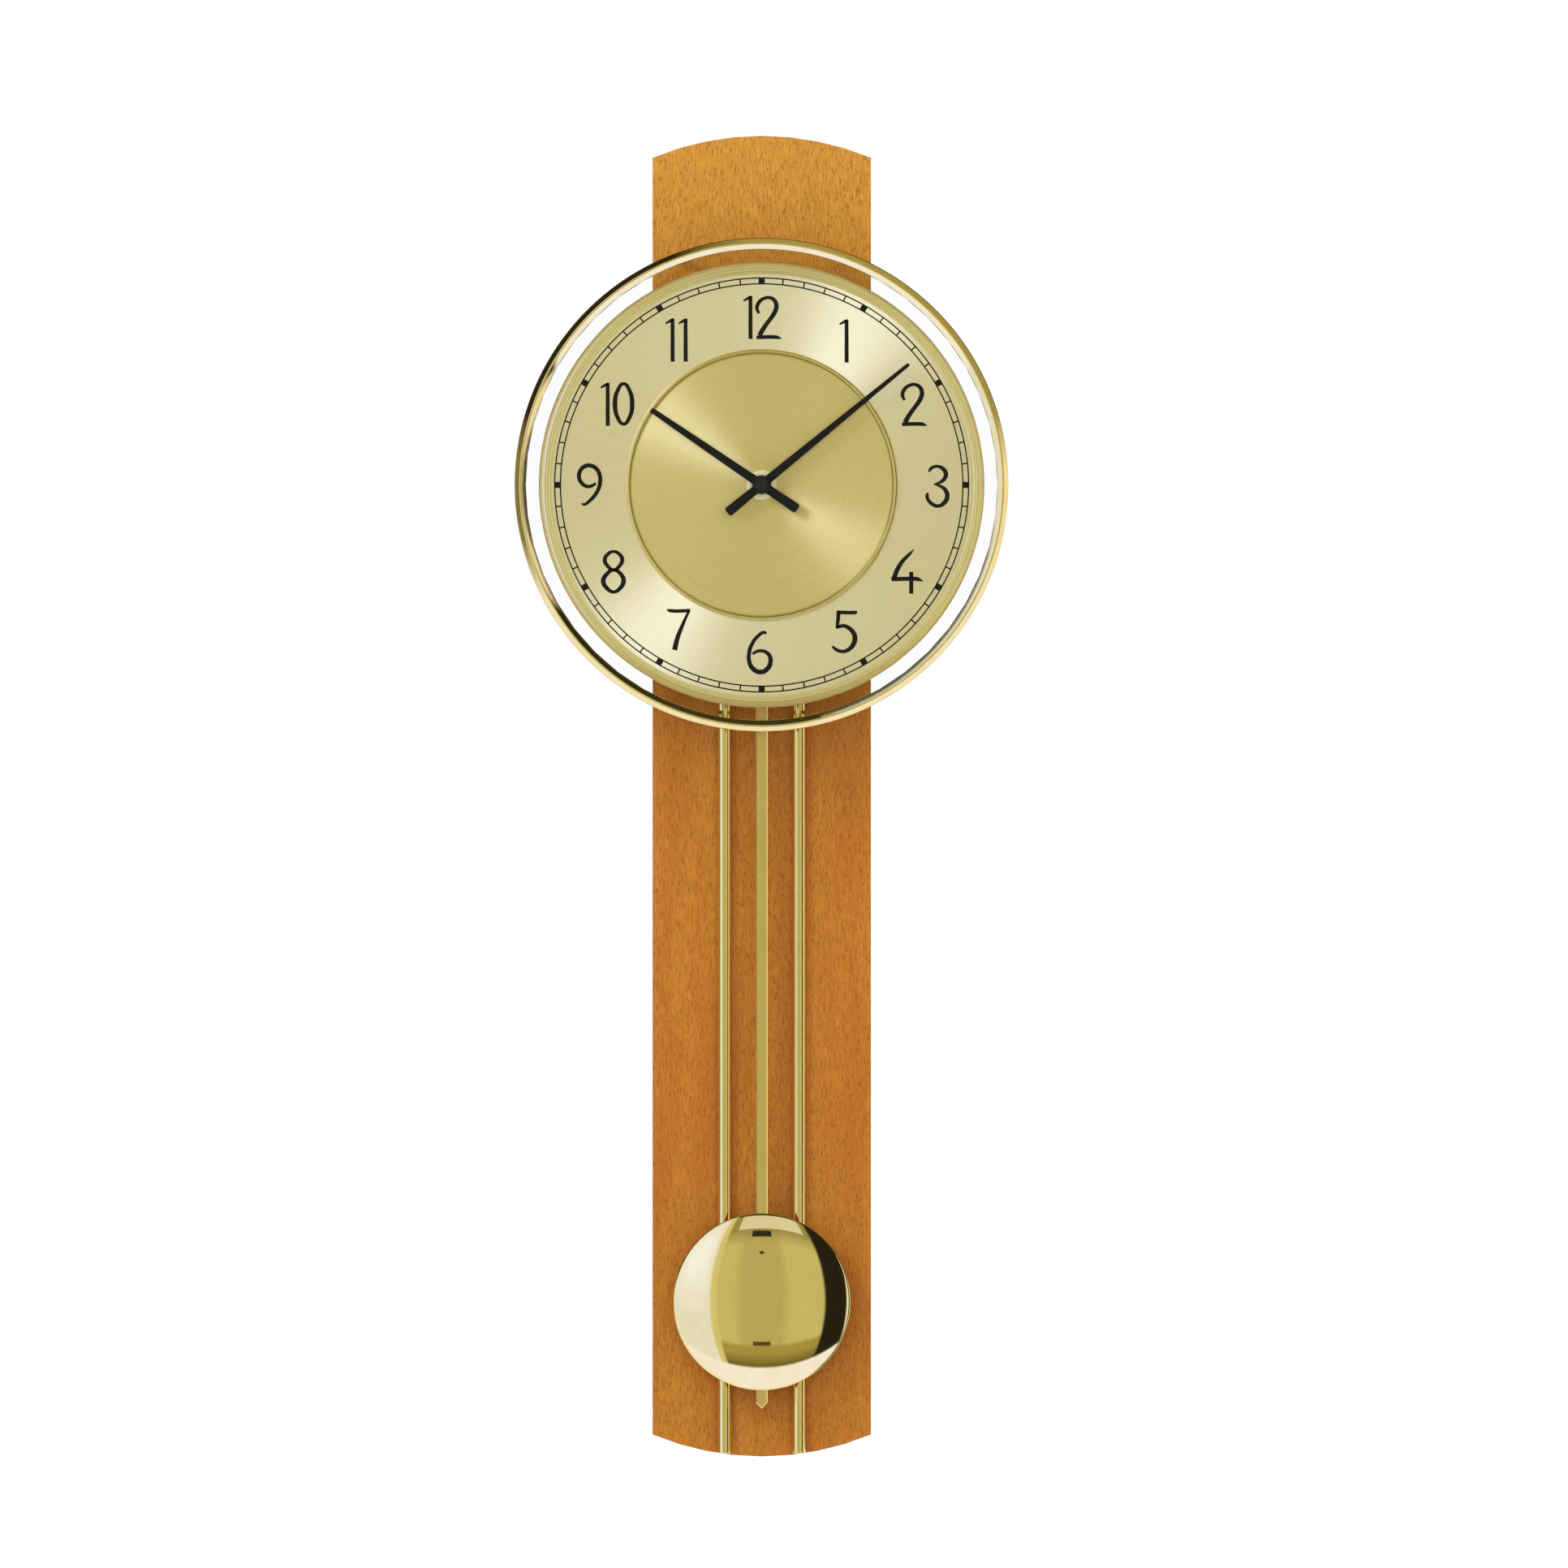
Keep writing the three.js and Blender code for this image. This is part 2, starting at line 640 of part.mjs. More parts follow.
const coverBlank = caseOutline(bayTop + partGap, 0);
coverBlank.holes.push(circle(pinRadius + partGap, 0, pivotAbove));
coverBlank.holes.push(circle(knobHole, ...minuteWheelAt));
for (const at of [thirdAt, secondsAt, fifthAt, rotorAt]) coverBlank.holes.push(circle(pivotHole, ...at));
piece(head, 'movement_rear_cover', sheet(coverBlank, coverBack, shellBack, 6), 'whitePlastic');

// ---- Battery and its contacts, in the bay across the bottom of the case ----------------------------

const bayMiddle = (bayTop - movementBelow + mouldedWall) / 2;
const batteryDepth = shellInside - partGap - batteryDiameter / 2;
const battery = turned([
  [0, 0], [batteryDiameter / 2 - 0.6, 0], [batteryDiameter / 2, 0.6],
  [batteryDiameter / 2, batteryLength - 0.8], [batteryDiameter / 2 - 0.8, batteryLength],
  [2.7, batteryLength], [2.7, batteryLength + batteryNub], [0, batteryLength + batteryNub],
], middleSteps);
battery.translate(0, 0, -(batteryLength + batteryNub) / 2).rotateY(Math.PI / 2);
battery.translate(0, bayMiddle, batteryDepth);
piece(head, 'battery', battery, 'batteryLabel');
['minus', 'plus'].forEach((pole, i) => {
  const side = i === 0 ? -1 : 1;
  const wallFace = wallInside - 0.1;
  const [near, far] = [wallFace - contactThickness, wallFace].map((x) => side * x).sort((a, b) => a - b);
  piece(head, `battery_contact_${pole}`, block(
    near, far, bayMiddle - 4, bayMiddle + 4, shellBack + 2, shellInside - partGap,
  ), 'steel');
});

// ---- Wheels ----------------------------------------------------------------------------------------

const toothReach = 0.8; // of a tooth beyond the pitch circle, in modules
const toothRoot = 1.1; // of the gaps inside it
const toothRootShare = 0.26; // half a tooth's width at its root, as a share of the pitch
const bluntTip = 0.1; // and at its tip, on the coarser teeth that drive the hands
const fineTip = 0; // the fine teeth of the train come to a point

/** A gear seen from the front, with a tooth centred on a direction given in degrees. */
function gearOutline(teeth, module, direction, tipShare = bluntTip) {
  const pitchRadius = (teeth * module) / 2;
  const tip = pitchRadius + toothReach * module;
  const root = pitchRadius - toothRoot * module;
  const pitch = 360 / teeth;
  const corners = [];
  for (let i = 0; i < teeth; i += 1) {
    const middle = direction + i * pitch;
    corners.push(along([0, 0], middle - toothRootShare * pitch, root));
    corners.push(along([0, 0], middle - tipShare * pitch, tip));
    if (tipShare > 0) corners.push(along([0, 0], middle + tipShare * pitch, tip));
    corners.push(along([0, 0], middle + toothRootShare * pitch, root));
  }
  return outline(corners);
}

/** The direction for a wheel with a gap, not a tooth, facing along the given direction. */
function gapFacing(direction, teeth) {
  return direction + 180 / teeth;
}

const hourWheelBack = shellInside - 1.8;
const hourWheelFront = shellInside - 0.6;
const minuteWheelBack = shellInside - 4;
const minuteWheelFront = shellInside - 2.4;
const plateRear = shellInside - 4.8;
const centreWheelBack = plateRear - 1.2;
const centreWheelFront = plateRear - 0.2;
const wheelStep = 2; // from one wheel of the train to the next, towards the cover
const wheelThickness = 1;
const cannonModule = (2 * motionDistance) / (cannonTeeth + minuteWheelTeeth);
const hourModule = (2 * motionDistance) / (minutePinionTeeth + hourWheelTeeth);

const middlePlate = outline([
  [-wallInside + partGap, chamberBottom + partGap], [wallInside - partGap, chamberBottom + partGap],
  [wallInside - partGap, movementAbove - mouldedWall - partGap],
  [-wallInside + partGap, movementAbove - mouldedWall - partGap],
]);
const stubRadius = 0.8;
middlePlate.holes.push(circle(stubRadius + runningGap));
middlePlate.holes.push(circle(knobHole, ...minuteWheelAt));
for (const at of [thirdAt, secondsAt, fifthAt, rotorAt]) middlePlate.holes.push(circle(pivotHole, ...at));
piece(head, 'middle_plate', sheet(middlePlate, plateRear, minuteWheelBack - 0.2, 6), 'whitePlastic');

const hourGear = sheet(gearOutline(hourWheelTeeth, hourModule, 0), hourWheelBack, hourWheelFront);
const hourTube = disc(hourTubeRadius, hourWheelBack, hourHandBack + handThickness + 0.3, middleSteps);
const hourBore = disc(minuteArborRadius + runningGap + 0.2, hourWheelBack - 1, minuteHandBack, middleSteps);
piece(head, 'hour_wheel', cut(join(hourGear, hourTube), hourBore), 'whitePlastic');

const cannonGear = gearOutline(cannonTeeth, cannonModule, 0);
piece(head, 'minute_arbor', join(
  sheet(cannonGear, minuteWheelBack, minuteWheelFront),
  disc(stubRadius, centreWheelBack - 0.6, minuteWheelBack + 0.4),
  disc(minuteArborRadius, minuteWheelFront - 0.4, capNutBack - 0.1),
  disc(1.1, capNutBack - 0.5, capNutBack + capNutHeight - 1),
), 'steel');

const knobBack = lathFront + knobOffset;
const knobFront = coverBack - partGap;
piece(head, 'minute_wheel', join(
  sheet(gearOutline(minuteWheelTeeth, cannonModule, gapFacing(180, minuteWheelTeeth)),
    minuteWheelBack, minuteWheelFront),
  sheet(gearOutline(minutePinionTeeth, hourModule, gapFacing(180, minutePinionTeeth)),
    minuteWheelFront - 0.2, hourWheelFront + 0.1),
  disc(minuteWheelArborRadius, knobBack + 2, hourWheelFront),
  disc(minuteWheelArborRadius - runningGap, hourWheelFront - 0.2, shellInside + 0.7),
), 'whitePlastic', ...minuteWheelAt);
const knobRadius = 5.5;
const knobFlute = 0.7;
const knobShape = outline(Array.from({ length: 32 }, (_, i) => (
  along([0, 0], i * 11.25, i % 2 === 0 ? knobRadius : knobRadius - knobFlute)
)));
piece(head, 'setting_knob', cut(
  sheet(knobShape, knobBack, knobFront),
  disc(minuteWheelArborRadius + partGap, knobBack + 1.7, knobFront + 1),
), 'whitePlastic', ...minuteWheelAt);

/** A train wheel: a plate of teeth, the pinion in front of it, and an arbor with a pivot at each end. */
function trainWheel(name, at, layer, wheel, pinion) {
  const back = centreWheelBack - (layer + 1) * wheelStep - 0.2;
  piece(head, name, join(
    sheet(gearOutline(wheel.teeth, wheel.module, wheel.direction, fineTip), back, back + wheelThickness),
    sheet(gearOutline(pinionTeeth, pinion.module, pinion.direction),
      back + wheelThickness - 0.2, back + wheelStep + wheelThickness + 0.1),
    disc(trainArborRadius, coverBack + 0.4, minuteWheelBack - 0.3),
  ), 'whitePlastic', ...at);
}

piece(head, 'centre_wheel', cut(
  sheet(gearOutline(centreTeeth, centreModule, toThird, fineTip), centreWheelBack, centreWheelFront),
  disc(stubRadius + runningGap, centreWheelBack - 1, centreWheelFront + 1),
), 'whitePlastic');
trainWheel('third_wheel', thirdAt, 0,
  { teeth: thirdTeeth, module: thirdModule, direction: toSeconds },
  { module: centreModule, direction: gapFacing(toThird + 180, pinionTeeth) });
trainWheel('seconds_wheel', secondsAt, 1,
  { teeth: secondsTeeth, module: thirdModule, direction: toFifth },
  { module: thirdModule, direction: gapFacing(toSeconds + 180, pinionTeeth) });
trainWheel('fifth_wheel', fifthAt, 2,
  { teeth: fifthTeeth, module: rotorModule, direction: toRotor },
  { module: thirdModule, direction: gapFacing(toFifth + 180, pinionTeeth) });

// ---- Stepping motor: rotor, stator plate and coil, with the circuit board beside them --------------

const fifthBack = centreWheelBack - 3 * wheelStep - 0.2;
const rotorMagnetRadius = 2.3;
const rotorMagnetBack = fifthBack + 1.8;
const rotorMagnetFront = fifthBack + 4.4;
piece(head, 'rotor', join(
  sheet(gearOutline(pinionTeeth, rotorModule, gapFacing(toRotor + 180, pinionTeeth)),
    fifthBack - 0.3, fifthBack + wheelThickness + 0.3),
  disc(rotorMagnetRadius, rotorMagnetBack, rotorMagnetFront, middleSteps),
  disc(trainArborRadius, coverBack + 0.4, minuteWheelBack - 0.3),
), 'magnet', ...rotorAt);

const statorBack = fifthBack + 2.4;
const statorFront = statorBack + 1;
const fifthPinionReach = thirdModule * (pinionTeeth / 2 + toothReach);
const statorLeft = fifthAt[0] + fifthPinionReach + partGap;
const statorBottom = 8.2;
const statorTop = 24;
const limbRight = wallInside - 6;
const limbLeft = limbRight - 3;
const openingLeft = 7.2; // of the opening in the stator beside the coil
const openingBottom = 11.4;
const openingTop = 20.8;
const statorBlank = outline([
  [statorLeft, statorBottom], [limbRight, statorBottom], [limbRight, statorTop], [statorLeft, statorTop],
]);
statorBlank.holes.push(outline([
  [openingLeft, openingBottom], [openingLeft, openingTop], [limbLeft, openingTop], [limbLeft, openingBottom],
]));
statorBlank.holes.push(circle(rotorMagnetRadius + 0.5, ...rotorAt));
piece(head, 'motor_stator', sheet(statorBlank, statorBack, statorFront, 10), 'steel');
const coilLength = openingTop - openingBottom - 2 * partGap;
const motorCoil = turnedRing([
  [2, 0], [4, 0], [4, 0.8], [3.4, 0.8], [3.4, coilLength - 0.8], [4, coilLength - 0.8],
  [4, coilLength], [2, coilLength],
], 16);
motorCoil.rotateX(-Math.PI / 2);
motorCoil.translate((limbLeft + limbRight) / 2, openingBottom + partGap, (statorBack + statorFront) / 2);
piece(head, 'motor_coil', motorCoil, 'copperWire');

const circuitLeft = motionDistance + minuteWheelArborRadius + 3.2;
const circuitRight = wallInside - 0.8;
piece(head, 'circuit_board', block(
  circuitLeft, circuitRight, chamberBottom + 1.5, statorBottom - 1, shellBack + 3.4, shellBack + 4.4,
), 'circuit');
const quartzCan = disc(1, 0, 6).rotateX(-Math.PI / 2).translate(circuitLeft + 3, -4, shellBack + 2.2);
piece(head, 'quartz_can', quartzCan, 'steel');

// ---- Pendulum drive: a coil in the tower, and the pin that the pendulum hangs from -----------------

piece(head, 'pendulum_coil', turnedRing([
  [coilBore, coilBack], [coilRadius, coilBack], [coilRadius, coilBack + 4.5], [coilBore, coilBack + 4.5],
], middleSteps), 'copperWire', 0, magnetAbove);
const pinHeadBack = hangerBack - 1.6;
piece(head, 'pivot_pin', turned([
  [0, pinHeadBack], [pinRadius + 0.8, pinHeadBack], [pinRadius + 0.8, pinHeadBack + 1],
  [pinRadius, pinHeadBack + 1], [pinRadius, pinFront], [0, pinFront],
], smallSteps), 'steel', 0, pivotAbove);

// ---- Pendulum: hanger and magnet, lath, and the bob of shell, back plate and clip ------------------

const hangerTop = pivotAbove + 4;
const hangerBottom = hookAbove - 3;
const hookRadius = 1.2;
const magnetRadius = 3;
const pendulum = new THREE.Group();
head.add(pendulum);
piece(pendulum, 'pendulum_hanger', cut(
  join(
    block(-hangerWidth / 2, hangerWidth / 2, hangerBottom, hangerTop, hangerBack, hangerFront),
    disc(hookRadius, lathPlane - 2, hangerBack + 0.5).translate(0, hookAbove, 0),
    disc(hookRadius + 0.8, lathPlane - 2, lathPlane - 1).translate(0, hookAbove, 0),
  ),
  disc(pinRadius + runningGap, hangerBack - 1, hangerFront + 1).translate(0, pivotAbove, 0),
  disc(magnetRadius + partGap, hangerBack - 1, hangerFront + 1, middleSteps).translate(0, magnetAbove, 0),
), 'blackPlastic');
piece(
  pendulum, 'hanger_magnet',
  disc(magnetRadius, hangerBack - 0.6, hangerFront + 0.6, middleSteps), 'magnet', 0, magnetAbove,
);

const lathHalf = lathWidth / 2;
const lathTop = hookAbove + 4;
const lathBlank = outline([
  [0, -lathTipDrop], [lathHalf, lathHalf - lathTipDrop], [lathHalf, lathTop], [-lathHalf, lathTop],
  [-lathHalf, lathHalf - lathTipDrop],
]);
lathBlank.holes.push(circle(hookRadius + partGap, 0, hookAbove));
piece(pendulum, 'pendulum_lath', sheet(lathBlank, lathPlane, lathFront, 6), 'satinBrass');

const bobRadius = bobDiameter / 2;
const bobBack = lathFront + partGap;
const bobPlateThickness = 1;
const bobEdge = bobBack + bobPlateThickness;
const bobOutside = domePoints(bobRadius, bobEdge, bobRise, 5);
const bobInside = domePoints(bobRadius - bobWall, bobEdge, bobRise - bobWall, 5).reverse();
piece(pendulum, 'bob_shell', turned([
  ...bobInside, [bobRadius - bobWall, bobBack], [bobRadius, bobBack], ...bobOutside,
], bobSteps), 'polishedBrass', 0, -bobDrop);
piece(
  pendulum, 'bob_back',
  disc(bobRadius - bobWall - partGap, bobBack, bobEdge, bobSteps), 'satinBrass', 0, -bobDrop,
);
const clipHalf = 12;
const clipFold = lathHalf + partGap;
const clipThickness = 1;
const clipBack = lathPlane - partGap - clipThickness;
const clip = join(
  block(-clipFold - clipThickness, clipFold + clipThickness, -5, 5, clipBack, clipBack + clipThickness),
  ...[-1, 1].flatMap((side) => {
    const [from, to] = [side * clipFold, side * (clipFold + clipThickness)].sort((a, b) => a - b);
    const [near, far] = [side * clipFold, side * clipHalf].sort((a, b) => a - b);
    return [
      block(from, to, -5, 5, clipBack, bobBack),
      block(near, far, -5, 5, bobBack - clipThickness, bobBack),
    ];
  }),
);
piece(pendulum, 'bob_clip', clip, 'steel', 0, -bobDrop);

// ---- Hands, and what holds them and the dial -------------------------------------------------------

const washerBack = discFront + 0.1;
const nutBack = washerBack + washerThickness;
piece(head, 'centre_washer', washer(
  washerDiameter / 2, neckHole, washerBack, nutBack, middleSteps,
), 'polishedBrass');
piece(head, 'centre_nut', turnedRing([
  [neckHole, nutBack], [nutDiameter / 2, nutBack], [nutDiameter / 2, nutBack + nutThickness - 0.6],
  [nutDiameter / 2 - 0.6, nutBack + nutThickness], [neckHole, nutBack + nutThickness],
], middleSteps), 'polishedBrass');

/** A hand pointing up: a blade with a rounded tip, and a wider tail with a square end. */
function handOutline({ length, tail, hubWidth, tipWidth, tailWidth, bore, hubRadius }) {
  const tip = tipWidth / 2;
  const spread = Math.acos(hubWidth / 2 / hubRadius); // where the blade meets the round hub
  const shape = new THREE.Shape();
  shape.moveTo(-tailWidth / 2, -tail);
  shape.lineTo(tailWidth / 2, -tail);
  shape.absarc(0, 0, hubRadius, -spread, spread);
  shape.absarc(0, length - tip, tip, 0, Math.PI);
  shape.absarc(0, 0, hubRadius, Math.PI - spread, Math.PI + spread);
  shape.closePath();
  shape.holes.push(circle(bore));
  return shape;
}

const hourShape = handOutline({
  length: plateRadius - hourHandShort, tail: hourHandTail, hubWidth: 3.6, tipWidth: 2.3, tailWidth: 4.2,
  bore: hourTubeRadius + partGap, hubRadius: 4.2,
});
const minuteShape = handOutline({
  length: plateRadius - minuteHandShort, tail: minuteHandTail, hubWidth: 3.3, tipWidth: 1.5, tailWidth: 4.2,
  bore: minuteArborRadius + partGap, hubRadius: 4,
});
const hourHand = piece(
  head, 'hour_hand', sheet(hourShape, hourHandBack, hourHandBack + handThickness, 4), 'blackMetal',
);
hourHand.rotation.z = -THREE.MathUtils.degToRad(hourRestTurn);
const minuteHand = piece(
  head, 'minute_hand', sheet(minuteShape, minuteHandBack, minuteHandBack + handThickness, 4), 'blackMetal',
);
minuteHand.rotation.z = -THREE.MathUtils.degToRad(minuteRestTurn);
const capRadius = capNutDiameter / 2;
piece(head, 'cap_nut', cut(
  turned([
    [0, capNutBack], [capRadius, capNutBack], [capRadius, capNutBack + 1.2],
    ...domePoints(capRadius, capNutBack + 1.2, capNutHeight - 1.2, 4).slice(1),
  ], middleSteps),
  disc(1.1 + partGap, capNutBack - 1, capNutBack + capNutHeight - 0.8),
), 'blackMetal');

export default clock;
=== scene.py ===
"""A pendulum wall clock: a veneered board, a gold dial in a brass bezel and a battery movement."""
from math import asin, pi, radians, sqrt

import bmesh
import bpy
from mathutils import Matrix, Vector


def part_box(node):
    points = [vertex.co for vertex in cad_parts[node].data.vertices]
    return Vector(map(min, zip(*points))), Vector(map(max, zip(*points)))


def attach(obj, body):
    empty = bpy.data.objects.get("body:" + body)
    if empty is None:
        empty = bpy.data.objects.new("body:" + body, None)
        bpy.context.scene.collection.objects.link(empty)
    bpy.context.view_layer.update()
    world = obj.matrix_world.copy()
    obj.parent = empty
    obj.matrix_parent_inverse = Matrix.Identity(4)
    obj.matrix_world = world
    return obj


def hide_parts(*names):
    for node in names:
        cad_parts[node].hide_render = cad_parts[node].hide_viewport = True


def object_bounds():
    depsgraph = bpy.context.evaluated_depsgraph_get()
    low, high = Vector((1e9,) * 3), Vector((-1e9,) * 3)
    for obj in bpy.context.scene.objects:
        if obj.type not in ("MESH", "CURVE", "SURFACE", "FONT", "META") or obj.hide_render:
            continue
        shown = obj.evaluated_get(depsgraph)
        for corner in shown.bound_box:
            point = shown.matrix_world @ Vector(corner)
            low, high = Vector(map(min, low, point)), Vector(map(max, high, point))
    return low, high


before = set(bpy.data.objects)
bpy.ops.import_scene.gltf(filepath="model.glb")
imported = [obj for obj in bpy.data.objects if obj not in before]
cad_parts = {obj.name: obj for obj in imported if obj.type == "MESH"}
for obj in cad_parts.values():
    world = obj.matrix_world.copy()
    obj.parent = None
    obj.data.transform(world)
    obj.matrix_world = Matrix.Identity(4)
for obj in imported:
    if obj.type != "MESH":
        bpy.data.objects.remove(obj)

cad_box = [list(corner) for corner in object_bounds()]

# ---- Board core ------------------------------------------------------------------------------------
# A fibreboard panel 15.4 mm thick, sawn to shape with rounded ends and a window behind the movement.
# Its back is raw board; its long sides and ends are stained and lacquered with the veneer.

mm = 0.001


def new_finish(name, colour, metallic=0.0, roughness=0.5, **sockets):
    """A material with one surface shader, whose plain values are set on the shader's own sockets."""
    material = bpy.data.materials.new(name)
    material.use_nodes = True
    material.diffuse_color = (*colour, 1)
    shader = material.node_tree.nodes["Principled BSDF"]
    shader.inputs["Base Color"].default_value = (*colour, 1)
    shader.inputs["Metallic"].default_value = metallic
    shader.inputs["Roughness"].default_value = roughness
    for socket, value in sockets.items():
        shader.inputs[socket.replace("_", " ")].default_value = value
    return material, material.node_tree, shader


def add(tree, kind, values=(), **settings):
    """A node with its settings, and its inputs given in order: a value, a link, or None to leave it."""
    node = tree.nodes.new("ShaderNode" + kind)
    for setting, value in settings.items():
        setattr(node, setting, value)
    for socket, value in zip(node.inputs, values):
        if isinstance(value, bpy.types.NodeSocket):
            tree.links.new(value, socket)
        elif value is not None:
            socket.default_value = value
    return node


def maths(tree, operation, *values):
    return add(tree, "Math", values, operation=operation).outputs[0]


def pattern_space(tree, centre=(0, 0, 0), unit=(mm, mm, mm)):
    """Object coordinates about a centre, measured in units of a pattern."""
    place = add(tree, "Mapping", [add(tree, "TexCoord").outputs["Object"]], vector_type="TEXTURE")
    place.inputs["Location"].default_value = centre
    place.inputs["Scale"].default_value = unit
    return place.outputs[0]


def noise(tree, vector, detail=2.0, roughness=0.5, scale=1.0):
    node = add(tree, "TexNoise")
    tree.links.new(vector, node.inputs["Vector"])
    node.inputs["Scale"].default_value = scale
    node.inputs["Detail"].default_value = detail
    node.inputs["Roughness"].default_value = roughness
    return node.outputs["Fac"]


def speckle(tree, size, detail=2.0, roughness=0.5):
    """Noise in Object coordinates. Its size is in mm, the same each way or along X, Y and Z."""
    sizes = size if isinstance(size, tuple) else (size,) * 3
    return noise(tree, pattern_space(tree, unit=[part * mm for part in sizes]), detail, roughness)


def spread(tree, value, low, high, to_low=0.0, to_high=1.0):
    """A value's range from low to high, stretched to another and held at its ends."""
    return add(tree, "MapRange", [value, low, high, to_low, to_high], clamp=True).outputs[0]


def blend(tree, amount, first, second, way="MIX"):
    """A mix of two colours, given as colours or links."""
    node = add(tree, "Mix", data_type="RGBA", blend_type=way)
    for socket, value in ((node.inputs[0], amount), (node.inputs[6], first), (node.inputs[7], second)):
        if isinstance(value, bpy.types.NodeSocket):
            tree.links.new(value, socket)
        else:
            socket.default_value = value if isinstance(value, (int, float)) else (*value, 1)
    return node.outputs[2]


def wire(shader, **sources):
    """Links the patterns that drive a shader's sockets, whose names are given with underscores."""
    for socket, source in sources.items():
        shader.id_data.links.new(source, shader.inputs[socket.replace("_", " ")])


def varied(tree, shader, pattern, first, second, smooth, rough):
    """One pattern drives a surface between two tones and between two roughnesses."""
    wire(
        shader, Base_Color=blend(tree, spread(tree, pattern, 0.3, 0.7), first, second),
        Roughness=spread(tree, pattern, 0.3, 0.7, smooth, rough),
    )


def relief(tree, shader, height, distance):
    """Fine relief on the surface, as deep as the distance in metres."""
    bump = add(tree, "Bump")
    bump.inputs["Distance"].default_value = distance
    tree.links.new(height, bump.inputs["Height"])
    tree.links.new(bump.outputs[0], shader.inputs["Normal"])


def stained_beech(tree):
    """Straight-grained beech under a honey stain: its colour, with painted light that makes it lighter towards
    the top, its gloss and its open pores.
    """
    honey, amber, fleck = (0.55, 0.212, 0.021), (0.48, 0.158, 0.013), (0.20, 0.050, 0.006)
    figure = speckle(tree, (16, 16, 120), 3, 0.55)
    grain = speckle(tree, (0.7, 0.7, 6.5), 3, 0.65)
    place = add(tree, "SeparateXYZ", [add(tree, "TexCoord").outputs["Object"]])
    across = maths(tree, "DIVIDE", maths(tree, "ADD", place.outputs[0], place.outputs[1]), 0.95 * mm)
    top = place.outputs[2]
    cells = add(tree, "CombineXYZ", [across, maths(tree, "DIVIDE", top, 4.6 * mm)]).outputs[0]
    pores = add(tree, "TexVoronoi", [cells], voronoi_dimensions="2D")
    pores.inputs["Scale"].default_value = 1.0
    size = add(tree, "SeparateXYZ", [pores.outputs["Color"]]).outputs[0]
    width = spread(tree, size, 0.30, 1.0, 0.03, 0.36)
    reach = maths(tree, "DIVIDE", pores.outputs["Distance"], width)
    pore = maths(tree, "SUBTRACT", 1.0, spread(tree, reach, 0.5, 1.0))
    colour = blend(tree, spread(tree, figure, 0.34, 0.66), honey, amber)
    # Painted light: towards the board's upper end the wood blends to a lighter, yellower tone (0.66, 0.315,
    # 0.037), standing in for the stronger light that falls there.
    colour = blend(tree, spread(tree, top, -0.14, 0.04, 0.0, 0.85), colour, (0.66, 0.315, 0.037))
    colour = blend(tree, spread(tree, grain, 0.36, 0.68, 0.0, 0.46), colour, fleck)
    colour = blend(tree, maths(tree, "MULTIPLY", pore, 0.62), colour, fleck)
    height = maths(tree, "SUBTRACT", maths(tree, "MULTIPLY", grain, 0.35), pore)
    gloss = spread(tree, grain, 0.2, 0.8, 0.36, 0.50)
    return colour, gloss, height


def paint(*names, material):
    """Gives CAD nodes a finished material in place of their plain one."""
    for name in names:
        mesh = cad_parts[name].data
        if not mesh.materials:
            mesh.materials.append(material)
        for index in range(len(mesh.materials)):
            mesh.materials[index] = material


end_zone = 12 * mm  # the rounded ends reach this far in from the tips
core_low, core_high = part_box("board_core")
core_finish, tree, shader = new_finish("fibreboard", (0.30, 0.19, 0.10), roughness=0.8)
wood, _, height = stained_beech(tree)
fibres = speckle(tree, (1.4, 0.4, 1.4), 5, 0.7)
mottle = speckle(tree, 30, 3, 0.6)
raw = blend(tree, spread(tree, fibres, 0.3, 0.7), (0.34, 0.215, 0.115), (0.19, 0.115, 0.06))
raw = blend(tree, spread(tree, mottle, 0.35, 0.7, 0.0, 0.35), raw, (0.42, 0.29, 0.17))
place = add(tree, "SeparateXYZ", [add(tree, "TexCoord").outputs["Object"]])
facing = add(tree, "SeparateXYZ", [add(tree, "NewGeometry").outputs["Normal"]])
sideways, height_up = maths(tree, "ABSOLUTE", place.outputs[0]), place.outputs[2]
is_long_side = maths(tree, "GREATER_THAN", sideways, core_high.x - 0.5 * mm)
is_top = maths(tree, "GREATER_THAN", height_up, core_high.z - end_zone)
is_foot = maths(tree, "LESS_THAN", height_up, core_low.z + end_zone)
is_edge = maths(tree, "MAXIMUM", is_long_side, maths(tree, "MAXIMUM", is_top, is_foot))
is_side = maths(tree, "LESS_THAN", maths(tree, "ABSOLUTE", facing.outputs[1]), 0.5)
stained = maths(tree, "MULTIPLY", is_edge, is_side)
wire(
    shader, Base_Color=blend(tree, stained, raw, wood),
    Roughness=spread(tree, stained, 0, 1, 0.85, 0.42),
)
relief(tree, shader, maths(tree, "ADD", fibres, height), 0.05 * mm)
paint("board_core", material=core_finish)

# ---- Face veneer -----------------------------------------------------------------------------------
# Sliced beech 0.6 mm thick with its grain upright, glued over the core, stained honey brown and
# sprayed with satin lacquer. Its edges are sanded back a little all round.

veneer_ease = 0.35 * mm


def merged_copy(node):
    """A CAD node's shape with its triangles joined into whole faces, to ease its edges."""
    shape = bmesh.new()
    shape.from_mesh(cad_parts[node].data)
    bmesh.ops.remove_doubles(shape, verts=shape.verts, dist=2e-6)
    bmesh.ops.dissolve_limit(
        shape, angle_limit=radians(0.5), use_dissolve_boundaries=False,
        verts=shape.verts, edges=shape.edges, delimit=set(),
    )
    return shape


def ease(shape, edges, width, segments=2):
    bmesh.ops.bevel(
        shape, geom=list(edges), offset=width, offset_type="OFFSET", segments=segments, profile=0.5,
        affect="EDGES", clamp_overlap=True, material=-1,
    )


